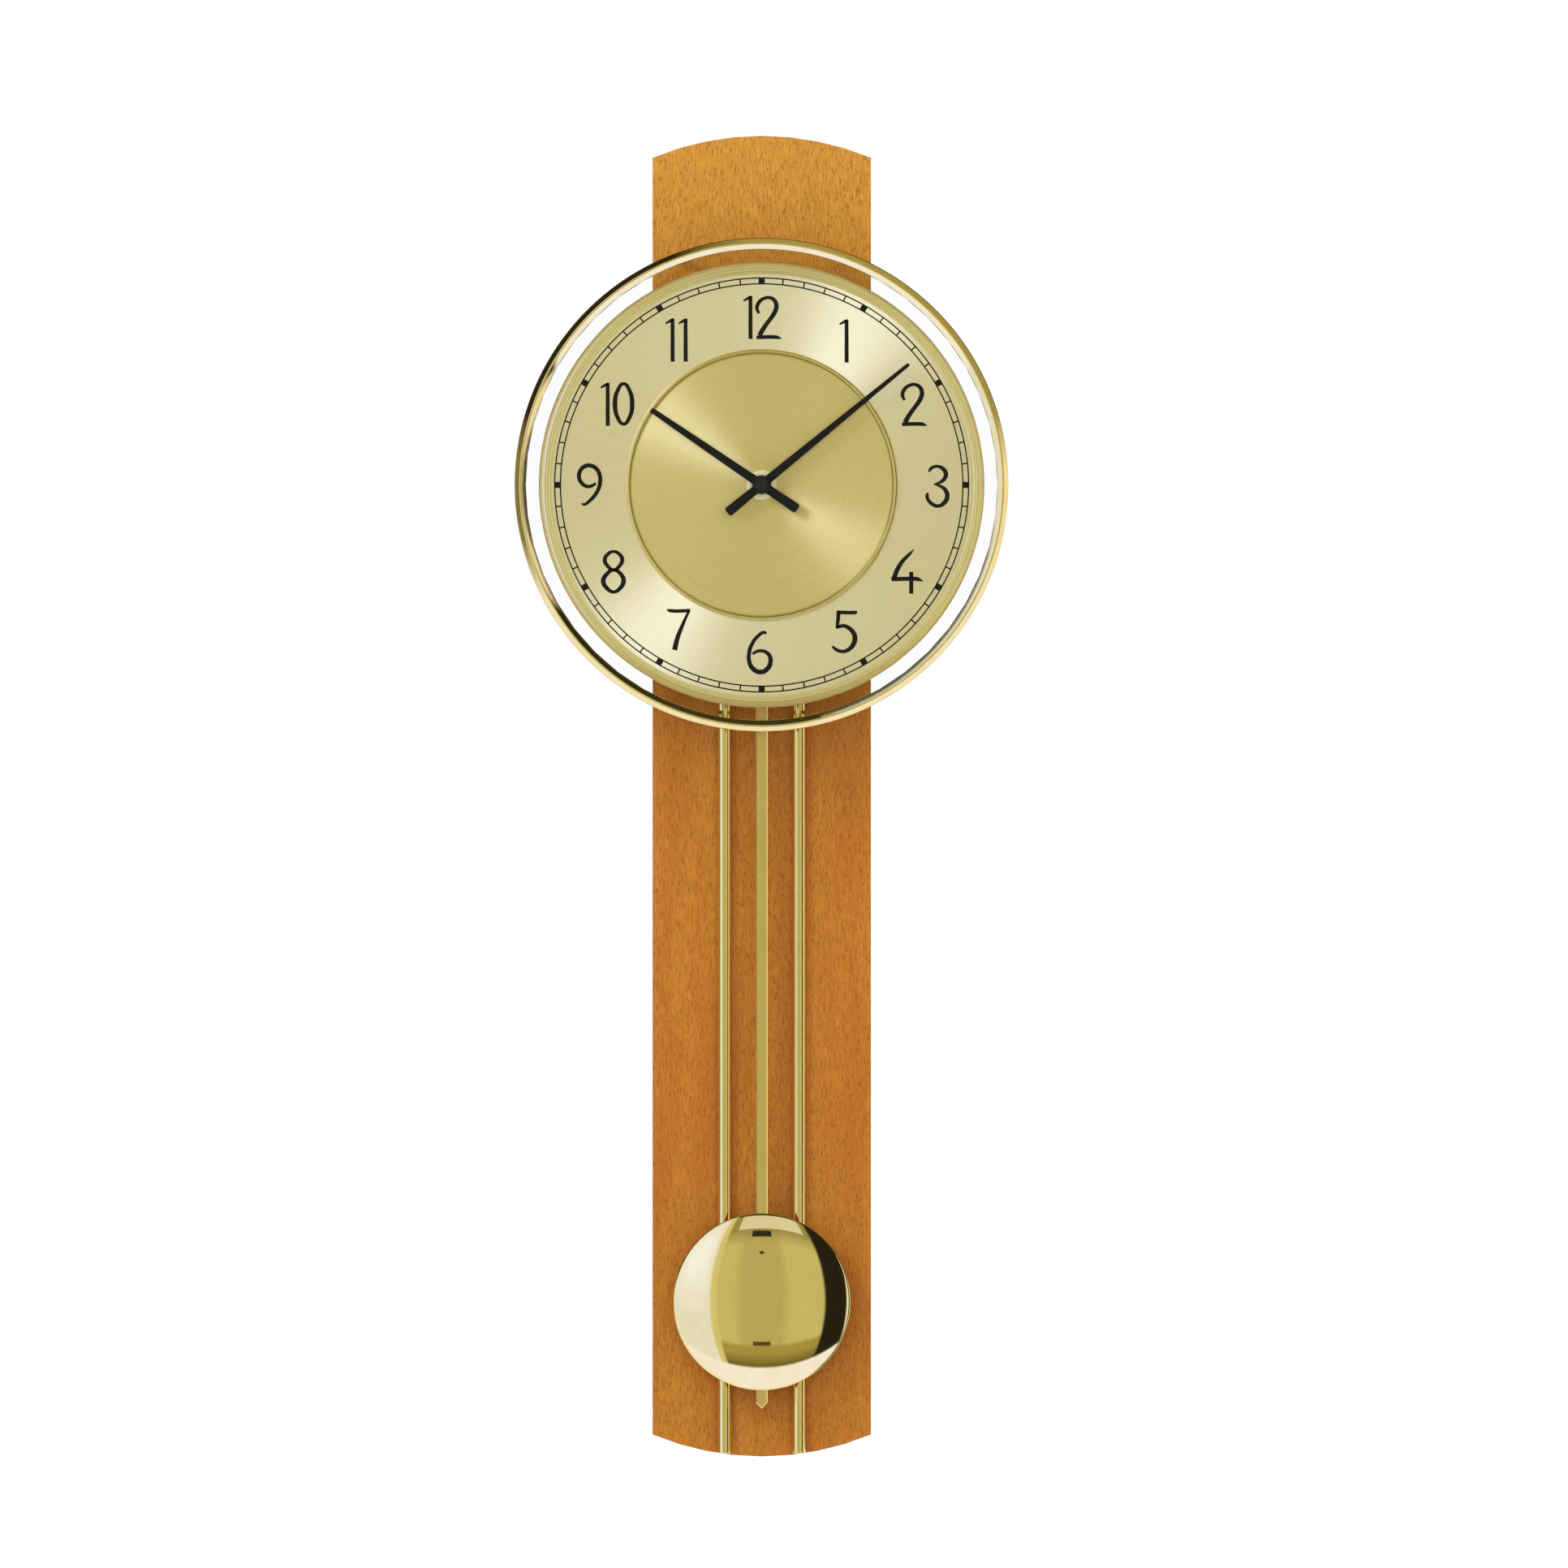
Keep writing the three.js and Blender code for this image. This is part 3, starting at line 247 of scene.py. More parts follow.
def made(shape, name, material, body="clock", instead=(), sharp=32):
    """The finished piece: smooth but for its sharp edges, in place, riding on its body."""
    for face in shape.faces:
        face.smooth = True
    for edge in shape.edges:
        edge.smooth = len(edge.link_faces) == 2 and edge.calc_face_angle(0) < radians(sharp)
    mesh = bpy.data.meshes.new(name)
    shape.to_mesh(mesh)
    shape.free()
    mesh.materials.append(material)
    piece = bpy.data.objects.new(name, mesh)
    bpy.context.scene.collection.objects.link(piece)
    even = piece.modifiers.new("even shading", "WEIGHTED_NORMAL")
    even.keep_sharp, even.weight = True, 100
    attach(piece, body)
    if instead:
        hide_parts(*instead)
    return piece


veneer_low, veneer_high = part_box("face_veneer")
veneer_finish, tree, shader = new_finish(
    "beech veneer", (0.5, 0.19, 0.03), roughness=0.42, Specular_IOR_Level=0.12,
)
wood, gloss, height = stained_beech(tree)
wire(shader, Base_Color=wood, Roughness=gloss)
relief(tree, shader, height, 0.045 * mm)
shape = merged_copy("face_veneer")
half_width = veneer_high.x
front_rim = [
    edge for edge in shape.edges
    if all(corner.co.y < veneer_low.y + 1e-5 for corner in edge.verts) and len(edge.link_faces) == 2
    and edge.calc_face_angle(0) > 0.8
    and (abs(sum(c.co.x for c in edge.verts)) > 1.99 * half_width
         or not veneer_low.z + end_zone < edge.verts[0].co.z < veneer_high.z - end_zone)
]
ease(shape, front_rim, veneer_ease)
made(shape, "board_face", veneer_finish, instead=["face_veneer"])

# ---- Hanger plate and screws -----------------------------------------------------------------------
# A zinc-plated steel plate with a keyhole for the nail, let into the board's back, and the ten
# plated wood screws with cross recesses that hold the plate, the housing and the rods.

recess_reach, recess_width, recess_depth = 1.75 * mm, 0.62 * mm, 0.9 * mm
screw_steps, neck, point = 28, 1.5 * mm, 0.4 * mm


def plated_steel(name, tone=(0.62, 0.64, 0.66)):
    material, tree, shader = new_finish(name, tone, 1.0, 0.3)
    cloud = speckle(tree, 6, 4, 0.6)
    fine = speckle(tree, 0.5, 2)
    warm = tuple(part * share for part, share in zip(tone, (1.02, 0.93, 0.78)))
    cool = tuple(part * share for part, share in zip(tone, (0.90, 0.97, 1.08)))
    wire(
        shader, Base_Color=blend(tree, spread(tree, cloud, 0.35, 0.68), cool, warm),
        Roughness=spread(tree, fine, 0.3, 0.7, 0.24, 0.42),
    )
    relief(tree, shader, fine, 0.01 * mm)
    return material


def spun(shape, corners, centre, steps, along="depth", closed=True, rounds=()):
    """A section turned about a centre line: corners are (radius, distance along it) in metres, and
    rounds gives the corners to round off first, as {corner number: radius}."""
    across = Vector((1, 0, 0))
    line = Vector((0, -1, 0)) if along == "depth" else Vector((0, 0, 1))
    points = [shape.verts.new(centre + across * r + line * d) for r, d in corners]
    pairs = list(zip(points, points[1:] + points[:1] if closed else points[1:]))
    edges = [shape.edges.new(pair) for pair in pairs]
    old = set(shape.verts) - set(points)
    for number, radius in dict(rounds).items():
        bmesh.ops.bevel(
            shape, geom=[points[number]], offset=radius, offset_type="OFFSET", segments=5,
            profile=0.5, affect="VERTICES", clamp_overlap=False, material=-1,
        )
    section = [vert for vert in shape.verts if vert not in old]
    wires = [edge for edge in shape.edges if edge.verts[0] not in old]
    bmesh.ops.spin(
        shape, geom=section + wires, cent=centre, axis=line, dvec=(0, 0, 0), angle=2 * pi,
        steps=steps, use_merge=True, use_duplicate=False,
    )
    bmesh.ops.remove_doubles(shape, verts=shape.verts, dist=1e-6)
    bmesh.ops.recalc_face_normals(shape, faces=shape.faces)
    return shape


def round_size(node):
    """A round node's centre line, its radius, and its back and front measured towards the viewer."""
    low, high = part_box(node)
    centre = Vector(((low.x + high.x) / 2, 0, (low.z + high.z) / 2))
    return centre, (high.x - low.x) / 2, -high.y, -low.y


def drive_recess(shape, centre, plane):
    """The cross recess, cut in the round face of a screw's head on a plane of depth."""
    crown = [f for f in shape.faces if all(abs(-v.co.y - plane) < 1e-6 for v in f.verts)]
    bmesh.ops.delete(shape, geom=crown, context="FACES")
    loose = [v for v in shape.verts if not v.link_faces]
    bmesh.ops.delete(shape, geom=loose, context="VERTS")
    rim = [e for e in shape.edges if len(e.link_faces) == 1]
    before = set(shape.verts)
    grid = bmesh.ops.create_grid(
        shape, x_segments=3, y_segments=3, size=1,
        matrix=Matrix.Translation((centre.x, -plane, centre.z)) @ Matrix.Rotation(pi / 2, 4, "X"),
    )["verts"]
    for vert in grid:
        for axis in (0, 2):
            off = vert.co[axis] - centre[axis]
            arm = recess_reach if abs(off) > 0.5 else recess_width / 2
            vert.co[axis] = centre[axis] + (arm if off > 0 else -arm)
    corners = [f for f in shape.faces if all(v in grid for v in f.verts) and min(
        abs(f.calc_center_median().x - centre.x), abs(f.calc_center_median().z - centre.z)) > recess_width / 2]
    bmesh.ops.delete(shape, geom=corners, context="FACES")
    cross = [f for f in shape.faces if f.verts[0] not in before]
    outline = [e for e in shape.edges if e.verts[0] not in before and len(e.link_faces) == 1]
    bmesh.ops.bridge_loops(shape, edges=rim + outline)
    floor = bmesh.ops.extrude_face_region(shape, geom=cross)["geom"]
    bmesh.ops.delete(shape, geom=cross, context="FACES")
    sunk = [v for v in floor if isinstance(v, bmesh.types.BMVert)]
    bmesh.ops.translate(shape, verts=sunk, vec=(0, -recess_depth, 0))
    bmesh.ops.scale(
        shape, verts=sunk, vec=(0.55, 1, 0.55), space=Matrix.Translation((-centre.x, 0, -centre.z)),
    )
    bmesh.ops.recalc_face_normals(shape, faces=shape.faces)


zinc = plated_steel("zinc plate")
paint("hanger_plate", material=zinc)
screw_finish = plated_steel("screw plating", (0.66, 0.64, 0.58))
for name in ["hanger_screw_1", "hanger_screw_2", *(
    f"{kind}_screw_{number}" for kind in ("rod", "housing") for number in range(1, 5)
)]:
    centre, head, back, tip = round_size(name)
    if "hanger" in name:
        outline = [(0, back), (head - 0.7 * mm, back), (head, back + 0.8 * mm), (head, back + 1.4 * mm)]
        outline += [(neck, back + 1.4 * mm), (neck, tip - 2.6 * mm), (point, tip), (0, tip)]
        rounds = {2: 0.5 * mm}
    else:
        outline = [(0, back), (head, back), (head, back + 0.3 * mm), (neck, back + 1.8 * mm)]
        outline += [(neck, tip - 3 * mm), (point, tip), (0, tip)]
        rounds = {}
    shape = spun(bmesh.new(), outline, centre, screw_steps, closed=False, rounds=rounds)
    drive_recess(shape, centre, back)
    made(shape, name + "_turned", screw_finish, instead=[name])

# ---- Rods ------------------------------------------------------------------------------------------
# Two drawn brass rods 6.5 mm thick, polished and lacquered, with their ends turned round. They stand
# on the veneer either side of the pendulum and are screwed on from behind the board.

rod_steps, rod_end_round = 64, 0.6 * mm


def polished_brass(name, low=0.045, high=0.10):
    material, tree, shader = new_finish(
        name, (0.90, 0.70, 0.22), 1.0, 0.06, Coat_Weight=0.25, Coat_Roughness=0.04,
    )
    haze = speckle(tree, 9, 3, 0.6)
    wipe = speckle(tree, (0.35, 0.35, 5), 2, 0.5)
    tone = blend(tree, spread(tree, haze, 0.3, 0.7), (0.92, 0.725, 0.245), (0.875, 0.67, 0.20))
    wire(shader, Base_Color=tone, Roughness=spread(tree, wipe, 0.3, 0.7, low, high))
    return material


brass = polished_brass("polished brass")
for side in ("left", "right"):
    low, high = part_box("rod_" + side)
    centre = Vector(((low.x + high.x) / 2, (low.y + high.y) / 2, 0))
    radius = (high.x - low.x) / 2
    shape = spun(
        bmesh.new(), [(0, low.z), (radius, low.z), (radius, high.z), (0, high.z)], centre, rod_steps,
        along="height", closed=False, rounds={1: rod_end_round, 2: rod_end_round},
    )
    made(shape, f"brass_rod_{side}", brass, instead=["rod_" + side])

# ---- Housing ---------------------------------------------------------------------------------------
# A black moulded box that stands on the board behind the dial, with four bosses for its screws. The
# mould leaves a fine spark-eroded texture on it and slightly rounded edges.

edge_round = 0.5 * mm


def moulded(name, colour, roughness=0.45, grain=0.35):
    material, tree, shader = new_finish(name, colour, 0.0, roughness)
    sparks = speckle(tree, grain, 3, 0.6)
    flow = speckle(tree, 14, 2)
    darker = tuple(part * 0.82 for part in colour)
    wire(shader, Base_Color=blend(tree, spread(tree, flow, 0.3, 0.7), colour, darker))
    tree.links.new(
        spread(tree, sparks, 0.3, 0.7, roughness - 0.07, roughness + 0.12), shader.inputs["Roughness"],
    )
    relief(tree, shader, sparks, 0.03 * mm)
    return material


def eased_copy(node, name, material, body="clock", width=edge_round, sharp=32):
    """A CAD node's shape with its sharp outer edges rounded as its mould or tool leaves them."""
    shape = merged_copy(node)
    crisp = [
        e for e in shape.edges
        if len(e.link_faces) == 2 and e.is_convex and e.calc_face_angle(0) > radians(50)
    ]
    ease(shape, crisp, width)
    return made(shape, name, material, body, [node], sharp)


black_moulding = moulded("black moulding", (0.014, 0.014, 0.015))
eased_copy("dial_housing", "housing_box", black_moulding)

# ---- Movement case ---------------------------------------------------------------------------------
# A black shell with a threaded neck that holds the wheels and the battery, closed at the back by a
# white cover with the arbors' bearing holes. Both are moulded.

eased_copy("movement_front_shell", "movement_shell", black_moulding, width=0.3 * mm)
white_moulding = moulded("white moulding", (0.74, 0.73, 0.69), 0.38, 0.25)
eased_copy("movement_rear_cover", "movement_cover", white_moulding, width=0.25 * mm)

# ---- Setting knob ----------------------------------------------------------------------------------
# The wheel at the back that sets the hands: a black moulded knob with a knurled edge, pressed on the
# minute wheel's arbor.

made(
    merged_copy("setting_knob"), "hand_setting_knob", black_moulding, "motion_work",
    ["setting_knob"], 30,
)

# ---- Wheels ----------------------------------------------------------------------------------------
# Injection-moulded acetal gears, slightly waxy and off-white, in two layers with a plate between them.
# The plate, the quartz can, the pins and the clips share one plated finish.

acetal, tree, shader = new_finish("acetal", (0.80, 0.77, 0.66), 0.0, 0.34, Subsurface_Weight=0.15)
shader.inputs["Subsurface Radius"].default_value = (0.004, 0.003, 0.002)
shader.inputs["Subsurface Scale"].default_value = 0.3
wax = speckle(tree, 2.5, 3, 0.6)
varied(tree, shader, wax, (0.83, 0.80, 0.70), (0.74, 0.70, 0.58), 0.26, 0.42)
paint(
    "centre_wheel", "third_wheel", "seconds_wheel", "fifth_wheel", "minute_wheel", "hour_wheel",
    material=acetal,
)
paint("middle_plate", "quartz_can", "pivot_pin", "bob_clip", "crystal_retainer", material=zinc)
arbor_steel = plated_steel("arbor steel", (0.70, 0.70, 0.70))
paint("minute_arbor", material=arbor_steel)

# ---- Motor, coils and circuit ----------------------------------------------------------------------
# A stepping motor of stator, coil and magnet rotor drives the train, and a second coil in the tower
# drives the pendulum. The coils are enamelled copper wire; the circuit board is green and printed.

laminate = plated_steel("stator steel", (0.50, 0.49, 0.48))
paint("motor_stator", material=laminate)


def wound_copper(name, centre, around, pitch=0.22 * mm):
    """Enamelled wire wound in layers: fine ridges around the coil's own centre line."""
    material, tree, shader = new_finish(name, (0.66, 0.25, 0.09), 0.85, 0.3, Coat_Weight=0.5)
    space = pattern_space(tree, centre, (pitch,) * 3)
    parts = add(tree, "SeparateXYZ", [space])
    along = parts.outputs["XYZ".index(around)]
    turns = maths(tree, "SINE", maths(tree, "MULTIPLY", along, 2 * pi))
    patch = speckle(tree, 1.5, 3)
    wire(
        shader,
        Base_Color=blend(tree, spread(tree, patch, 0.3, 0.7), (0.72, 0.28, 0.10), (0.52, 0.17, 0.06)),
        Roughness=spread(tree, turns, -1, 1, 0.42, 0.22),
    )
    relief(tree, shader, turns, 0.04 * mm)
    return material


paint("motor_coil", material=wound_copper("motor winding", (0, 0, 0), "Z"))
paint("pendulum_coil", material=wound_copper("pendulum winding", (0, 0, 0), "Y"))
magnet, tree, shader = new_finish("magnet", (0.09, 0.09, 0.095), 0.6, 0.42)
grit = speckle(tree, 0.3, 4, 0.7)
varied(tree, shader, grit, (0.11, 0.11, 0.115), (0.05, 0.05, 0.055), 0.32, 0.55)
relief(tree, shader, grit, 0.02 * mm)
paint("rotor", "hanger_magnet", material=magnet)

circuit, tree, shader = new_finish("circuit board", (0.02, 0.13, 0.055), 0.0, 0.3, Coat_Weight=0.6)
tracks = add(tree, "TexBrick", [pattern_space(tree, unit=(2.4 * mm,) * 3)])
tracks.inputs["Scale"].default_value = 1.0
tracks.inputs["Mortar Size"].default_value = 0.09
tracks.inputs["Color1"].default_value = (0.018, 0.12, 0.05, 1)
tracks.inputs["Color2"].default_value = (0.02, 0.15, 0.065, 1)
tracks.inputs["Mortar"].default_value = (0.07, 0.26, 0.11, 1)
weave = speckle(tree, 0.6, 2)
wire(shader, Base_Color=tracks.outputs["Color"], Roughness=spread(tree, weave, 0.3, 0.7, 0.24, 0.4))
relief(tree, shader, tracks.outputs["Fac"], 0.03 * mm)
paint("circuit_board", material=circuit)

# ---- Battery ---------------------------------------------------------------------------------------
# One round cell across the bottom of the movement: a plain printed sleeve in two tones, with plated
# ends, between two sprung steel contacts.

band_from, ends_from = 9.0, 24.0  # mm along the cell from its middle
low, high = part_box("battery")
cell_centre = (low + high) / 2
cell, tree, shader = new_finish("battery sleeve", (0.03, 0.04, 0.06), 0.2, 0.3)
parts = add(tree, "SeparateXYZ", [pattern_space(tree, cell_centre)])
scuff = speckle(tree, (3, 0.4, 0.4), 3)
band = maths(tree, "GREATER_THAN", parts.outputs[0], band_from)
ends = maths(tree, "GREATER_THAN", maths(tree, "ABSOLUTE", parts.outputs[0]), ends_from)
sleeve = blend(tree, band, (0.022, 0.026, 0.034), (0.62, 0.30, 0.10))
sleeve = blend(tree, ends, sleeve, (0.66, 0.66, 0.65))
wire(
    shader, Base_Color=blend(tree, spread(tree, scuff, 0.35, 0.8, 0, 0.2), sleeve, (0.3, 0.3, 0.3)),
    Metallic=maths(tree, "MAXIMUM", maths(tree, "MULTIPLY", band, 0.8), ends),
    Roughness=spread(tree, scuff, 0.3, 0.7, 0.24, 0.4),
)
shape = merged_copy("battery")
made(shape, "battery_cell", cell, instead=["battery"], sharp=40)
paint("battery_contact_plus", "battery_contact_minus", material=arbor_steel)

# ---- Pendulum hanger and lath ----------------------------------------------------------------------
# The black hanger swings on a pin in the movement and carries the drive magnet. The lath hooks on it:
# a brass strip 5.6 mm wide, brushed along its length, with bright chamfers and a pointed end.

lath_chamfer = 0.55 * mm

paint("pendulum_hanger", material=black_moulding)
lath_finish, tree, shader = new_finish(
    "satin brass strip", (0.90, 0.70, 0.26), 1.0, 0.26, Coat_Weight=0.2, Coat_Roughness=0.15,
)
strokes = speckle(tree, (0.12, 0.12, 30), 3, 0.6)
cloud = speckle(tree, (8, 8, 40), 2)
tone = blend(tree, spread(tree, cloud, 0.3, 0.7), (0.95, 0.70, 0.235), (0.90, 0.655, 0.205))
tone = blend(tree, spread(tree, strokes, 0.3, 0.75, 0, 0.25), tone, (0.74, 0.52, 0.14))
wire(shader, Base_Color=tone, Roughness=spread(tree, strokes, 0.3, 0.7, 0.20, 0.32))
relief(tree, shader, strokes, 0.004 * mm)
shape = merged_copy("pendulum_lath")
lath_low, lath_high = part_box("pendulum_lath")
hook_up = lath_high.z - 4 * mm
front_edges = [
    e for e in shape.edges
    if all(v.co.y < lath_low.y + 1e-5 for v in e.verts) and e.calc_face_angle(0) > 1
    and (e.verts[0].co - Vector((0, lath_low.y, hook_up))).length > 2 * mm
]
ease(shape, front_edges, lath_chamfer, 1)
made(shape, "pendulum_strip", lath_finish, "pendulum", ["pendulum_lath"], 20)

# ---- Bob -------------------------------------------------------------------------------------------
# A brass disc 83 mm across, pressed to a shallow dome, mirror polished and lacquered, with its edge
# rolled over a flat back plate. A sprung clip behind it grips the lath.

dome_steps, dome_rings, plate_steps, bob_wall, bob_edge_round = 160, 40, 96, 1 * mm, 0.35 * mm


def dome(shape, edge_radius, edge_depth, rise, centre, steps, rings, skirt=None, wall=None):
    """A spherical dome over a round edge, open at its back. A skirt takes its edge back to a depth."""
    ball = (edge_radius ** 2 + rise ** 2) / (2 * rise)
    forward = Vector((0, -1, 0))
    middle = centre + forward * (edge_depth + rise - ball)
    edge = shape.verts.new(centre + Vector((edge_radius, 0, 0)) + forward * edge_depth)
    bmesh.ops.spin(
        shape, geom=[edge], cent=middle, axis=(0, 0, 1), dvec=(0, 0, 0),
        angle=-asin(edge_radius / ball), steps=rings, use_merge=False, use_duplicate=False,
    )
    if skirt is not None:
        foot = shape.verts.new(centre + Vector((edge_radius, 0, 0)) + forward * skirt)
        shape.edges.new((foot, edge))
        bmesh.ops.bevel(
            shape, geom=[edge], offset=bob_edge_round, offset_type="OFFSET", segments=4,
            profile=0.5, affect="VERTICES", clamp_overlap=False, material=-1,
        )
    bmesh.ops.spin(
        shape, geom=list(shape.verts) + list(shape.edges), cent=centre, axis=forward,
        dvec=(0, 0, 0), angle=2 * pi, steps=steps, use_merge=True, use_duplicate=False,
    )
    bmesh.ops.remove_doubles(shape, verts=shape.verts, dist=2e-6)
    bmesh.ops.recalc_face_normals(shape, faces=shape.faces)
    crown = max(shape.faces, key=lambda face: -face.calc_center_median().y)
    if crown.normal.y > 0:
        bmesh.ops.reverse_faces(shape, faces=shape.faces)
    if wall:
        bmesh.ops.solidify(shape, geom=list(shape.faces), thickness=wall)
    return shape


bob_centre, bob_radius, bob_foot, bob_crown = round_size("bob_shell")
_, plate_radius, plate_back, bob_edge = round_size("bob_back")
shape = dome(
    bmesh.new(), bob_radius, bob_edge, bob_crown - bob_edge, bob_centre, dome_steps, dome_rings,
    skirt=bob_foot, wall=bob_wall,
)
bob_brass = polished_brass("mirror brass", 0.03, 0.055)
made(shape, "bob_dome", bob_brass, "pendulum", ["bob_shell"], 40)
shape = spun(
    bmesh.new(), [(0, plate_back), (plate_radius, plate_back), (plate_radius, bob_edge), (0, bob_edge)],
    bob_centre, plate_steps, closed=False, rounds={1: 0.3 * mm},
)
back_finish, tree, shader = new_finish("turned brass", (0.88, 0.68, 0.24), 1.0, 0.3)
space = pattern_space(tree, bob_centre)
reach = add(tree, "VectorMath", [space], operation="LENGTH").outputs["Value"]
rings = noise(tree, add(tree, "CombineXYZ", [maths(tree, "MULTIPLY", reach, 3.0)]).outputs[0], 3, 0.6)
varied(tree, shader, rings, (0.92, 0.71, 0.26), (0.78, 0.58, 0.18), 0.24, 0.38)
relief(tree, shader, rings, 0.008 * mm)
made(shape, "bob_back_plate", back_finish, "pendulum", ["bob_back"])

# ---- Dial plate and centre disc --------------------------------------------------------------------
# Aluminium anodised in a pale gold. The plate is brushed outwards from its middle like rays, and the
# disc laid on it is brushed in circles, so each shows two bright fans where the light crosses it.

plate_centre, outer, back, front = round_size("dial_plate")
dial_centre = Vector((0, 0, plate_centre.z))
dial_steps, hole = 180, 4.2 * mm


def brushed(name, pale, deep, rays, roughness, lean, metallic=0.62):
    """Brushed metal about the dial's centre, in rays or in circles. The shader's tangent lies across
    the brush marks, because the light spreads that way."""
    material, tree, shader = new_finish(name, pale, metallic, roughness, Anisotropic=lean)
    space = pattern_space(tree, dial_centre)
    flat = add(tree, "VectorMath", [space, (1, 0, 1)], operation="MULTIPLY").outputs[0]
    outward = add(tree, "VectorMath", [flat], operation="NORMALIZE").outputs[0]
    reach = add(tree, "VectorMath", [flat], operation="LENGTH").outputs["Value"]
    around = add(tree, "VectorMath", [outward, (0, 1, 0)], operation="CROSS_PRODUCT").outputs[0]
    if rays:
        marks, broad = (
            add(tree, "VectorMath", [outward, (pace,) * 3], operation="MULTIPLY").outputs[0]
            for pace in (260, 26)
        )
    else:
        turn = add(tree, "SeparateXYZ", [outward])
        marks, broad = (
            add(tree, "CombineXYZ", [
                maths(tree, "MULTIPLY", reach, pace), turn.outputs[0], turn.outputs[2],
            ]).outputs[0] for pace in (5.0, 0.5)
        )
    fine = noise(tree, marks, 3, 0.65)
    wide = noise(tree, broad, 3, 0.6)
    tone = blend(tree, spread(tree, fine, 0.3, 0.7), pale, deep)
    tone = blend(tree, spread(tree, wide, 0.35, 0.65, 0, 0.5), tone, pale)
    wire(
        shader, Base_Color=tone,
        Roughness=spread(tree, fine, 0.3, 0.7, roughness - 0.04, roughness + 0.05),
        Tangent=around if rays else outward,
    )
    relief(tree, shader, fine, 0.003 * mm)
    return material


plate_finish = brushed(
    "pale gold, brushed in rays", (0.89, 0.775, 0.44), (0.83, 0.715, 0.385), True, 0.40, 0.9,
)
shape = spun(
    bmesh.new(), [(hole, back), (outer, back), (outer, front), (hole, front)], dial_centre, dial_steps,
    rounds={2: 0.15 * mm},
)
made(shape, "dial_face", plate_finish, instead=["dial_plate"])

disc_finish = brushed(
    "gold, brushed in circles", (0.78, 0.63, 0.235), (0.71, 0.56, 0.19), False, 0.38, 0.9,
)
_, disc_radius, _, disc_front = round_size("dial_centre_disc")
shape = spun(
    bmesh.new(), [(hole, front), (disc_radius, front), (disc_radius, disc_front), (hole, disc_front)],
    dial_centre, dial_steps, rounds={2: 0.12 * mm},
)
made(shape, "dial_disc", disc_finish, instead=["dial_centre_disc"])

# ---- Bead and rim ----------------------------------------------------------------------------------
# A polished half-round bead hides the disc's edge. The rim around the plate is turned from brass in
# three fine steps, satin on the slopes, and pressed over the plate's edge.

bead_width, bead_round = 2.3 * mm, 1.12 * mm
_, bead_outer, _, bead_top = round_size("dial_bead")
bead_inner = bead_outer - bead_width
shape = spun(
    bmesh.new(), [(bead_inner, front), (bead_outer, front), (bead_outer, bead_top), (bead_inner, bead_top)],
    dial_centre, dial_steps, rounds={2: bead_round, 3: bead_round},
)
made(shape, "dial_bead_turned", brass, instead=["dial_bead"])

_, rim_outer, rim_back, rim_top = round_size("dial_rim")
rim_inner, lip, lip_back = outer + 0.05 * mm, outer - 0.7 * mm, front + 0.1 * mm
rim_steps = [(0, 1.13), (2.8, 0), (3.0, 0.5), (4.0, 0.75), (4.2, 1.05)]  # mm in from its edge and down
rim_section = [
    (rim_inner, rim_back), (rim_outer, rim_back),
    *((rim_outer - inward * mm, rim_top - down * mm) for inward, down in rim_steps),
    (lip, rim_top - 1.4 * mm), (lip, lip_back), (rim_inner, lip_back),
]
shape = spun(bmesh.new(), rim_section, dial_centre, dial_steps, rounds={2: 0.25 * mm, 3: 0.1 * mm})
rim_finish = brushed(
    "satin brass, turned", (0.93, 0.79, 0.38), (0.87, 0.73, 0.33), False, 0.22, 0.2, 0.75,
)
made(shape, "dial_rim_turned", rim_finish, instead=["dial_rim"], sharp=18)

# ---- Minute track ----------------------------------------------------------------------------------
# Screen-printed on the plate in black: two fine circles, a cross line at each minute and a block at
# each hour. The ink stands a few hundredths of a millimetre proud.

ink, tree, shader = new_finish(
    "printing ink", (0.006, 0.006, 0.007), 0.0, 0.38, Specular_IOR_Level=0.12,
)
speck = speckle(tree, 0.25, 3, 0.6)
varied(tree, shader, speck, (0.004, 0.004, 0.005), (0.009, 0.008, 0.008), 0.32, 0.5)
relief(tree, shader, speck, 0.006 * mm)

ink_sunk, ink_proud = 0.03 * mm, 0.04 * mm
track_outer, track_inner, track_line, track_steps = 96.7 * mm, 94.0 * mm, 0.62 * mm, 240
minute_width, hour_above, minute_below = 0.66 * mm, 0.01 * mm, 0.005 * mm
block_reach, block_width = 3.3 * mm, 2.9 * mm
shape = bmesh.new()
for radius in (track_outer, track_inner):
    near, far = radius - track_line / 2, radius + track_line / 2
    shape = spun(shape, [
        (near, front - ink_sunk), (far, front - ink_sunk), (far, front + ink_proud), (near, front + ink_proud),
    ], dial_centre, track_steps)
middle = (track_outer + track_inner) / 2
for minute in range(60):
    hour = minute % 5 == 0
    width, reach = (block_width, block_reach) if hour else (minute_width, track_outer - track_inner)
    turn = Matrix.Rotation(radians(6 * minute), 4, "Y")
    depth = ink_sunk + ink_proud + (hour_above if hour else -minute_below)
    outward = Matrix.Translation((0, -front + ink_sunk - depth / 2, middle))
    spot = Matrix.Translation(dial_centre) @ turn @ outward
    bmesh.ops.create_cube(shape, size=1, matrix=spot @ Matrix.Diagonal((width, depth, reach, 1)))
made(shape, "minute_track", ink)

# ---- Numerals --------------------------------------------------------------------------------------
# Twelve upright figures, 20 mm tall, printed in the same ink. Each stroke swells and thins like a
# broad pen's: it is given by points of (across, up, width) in mm about the figure's middle.

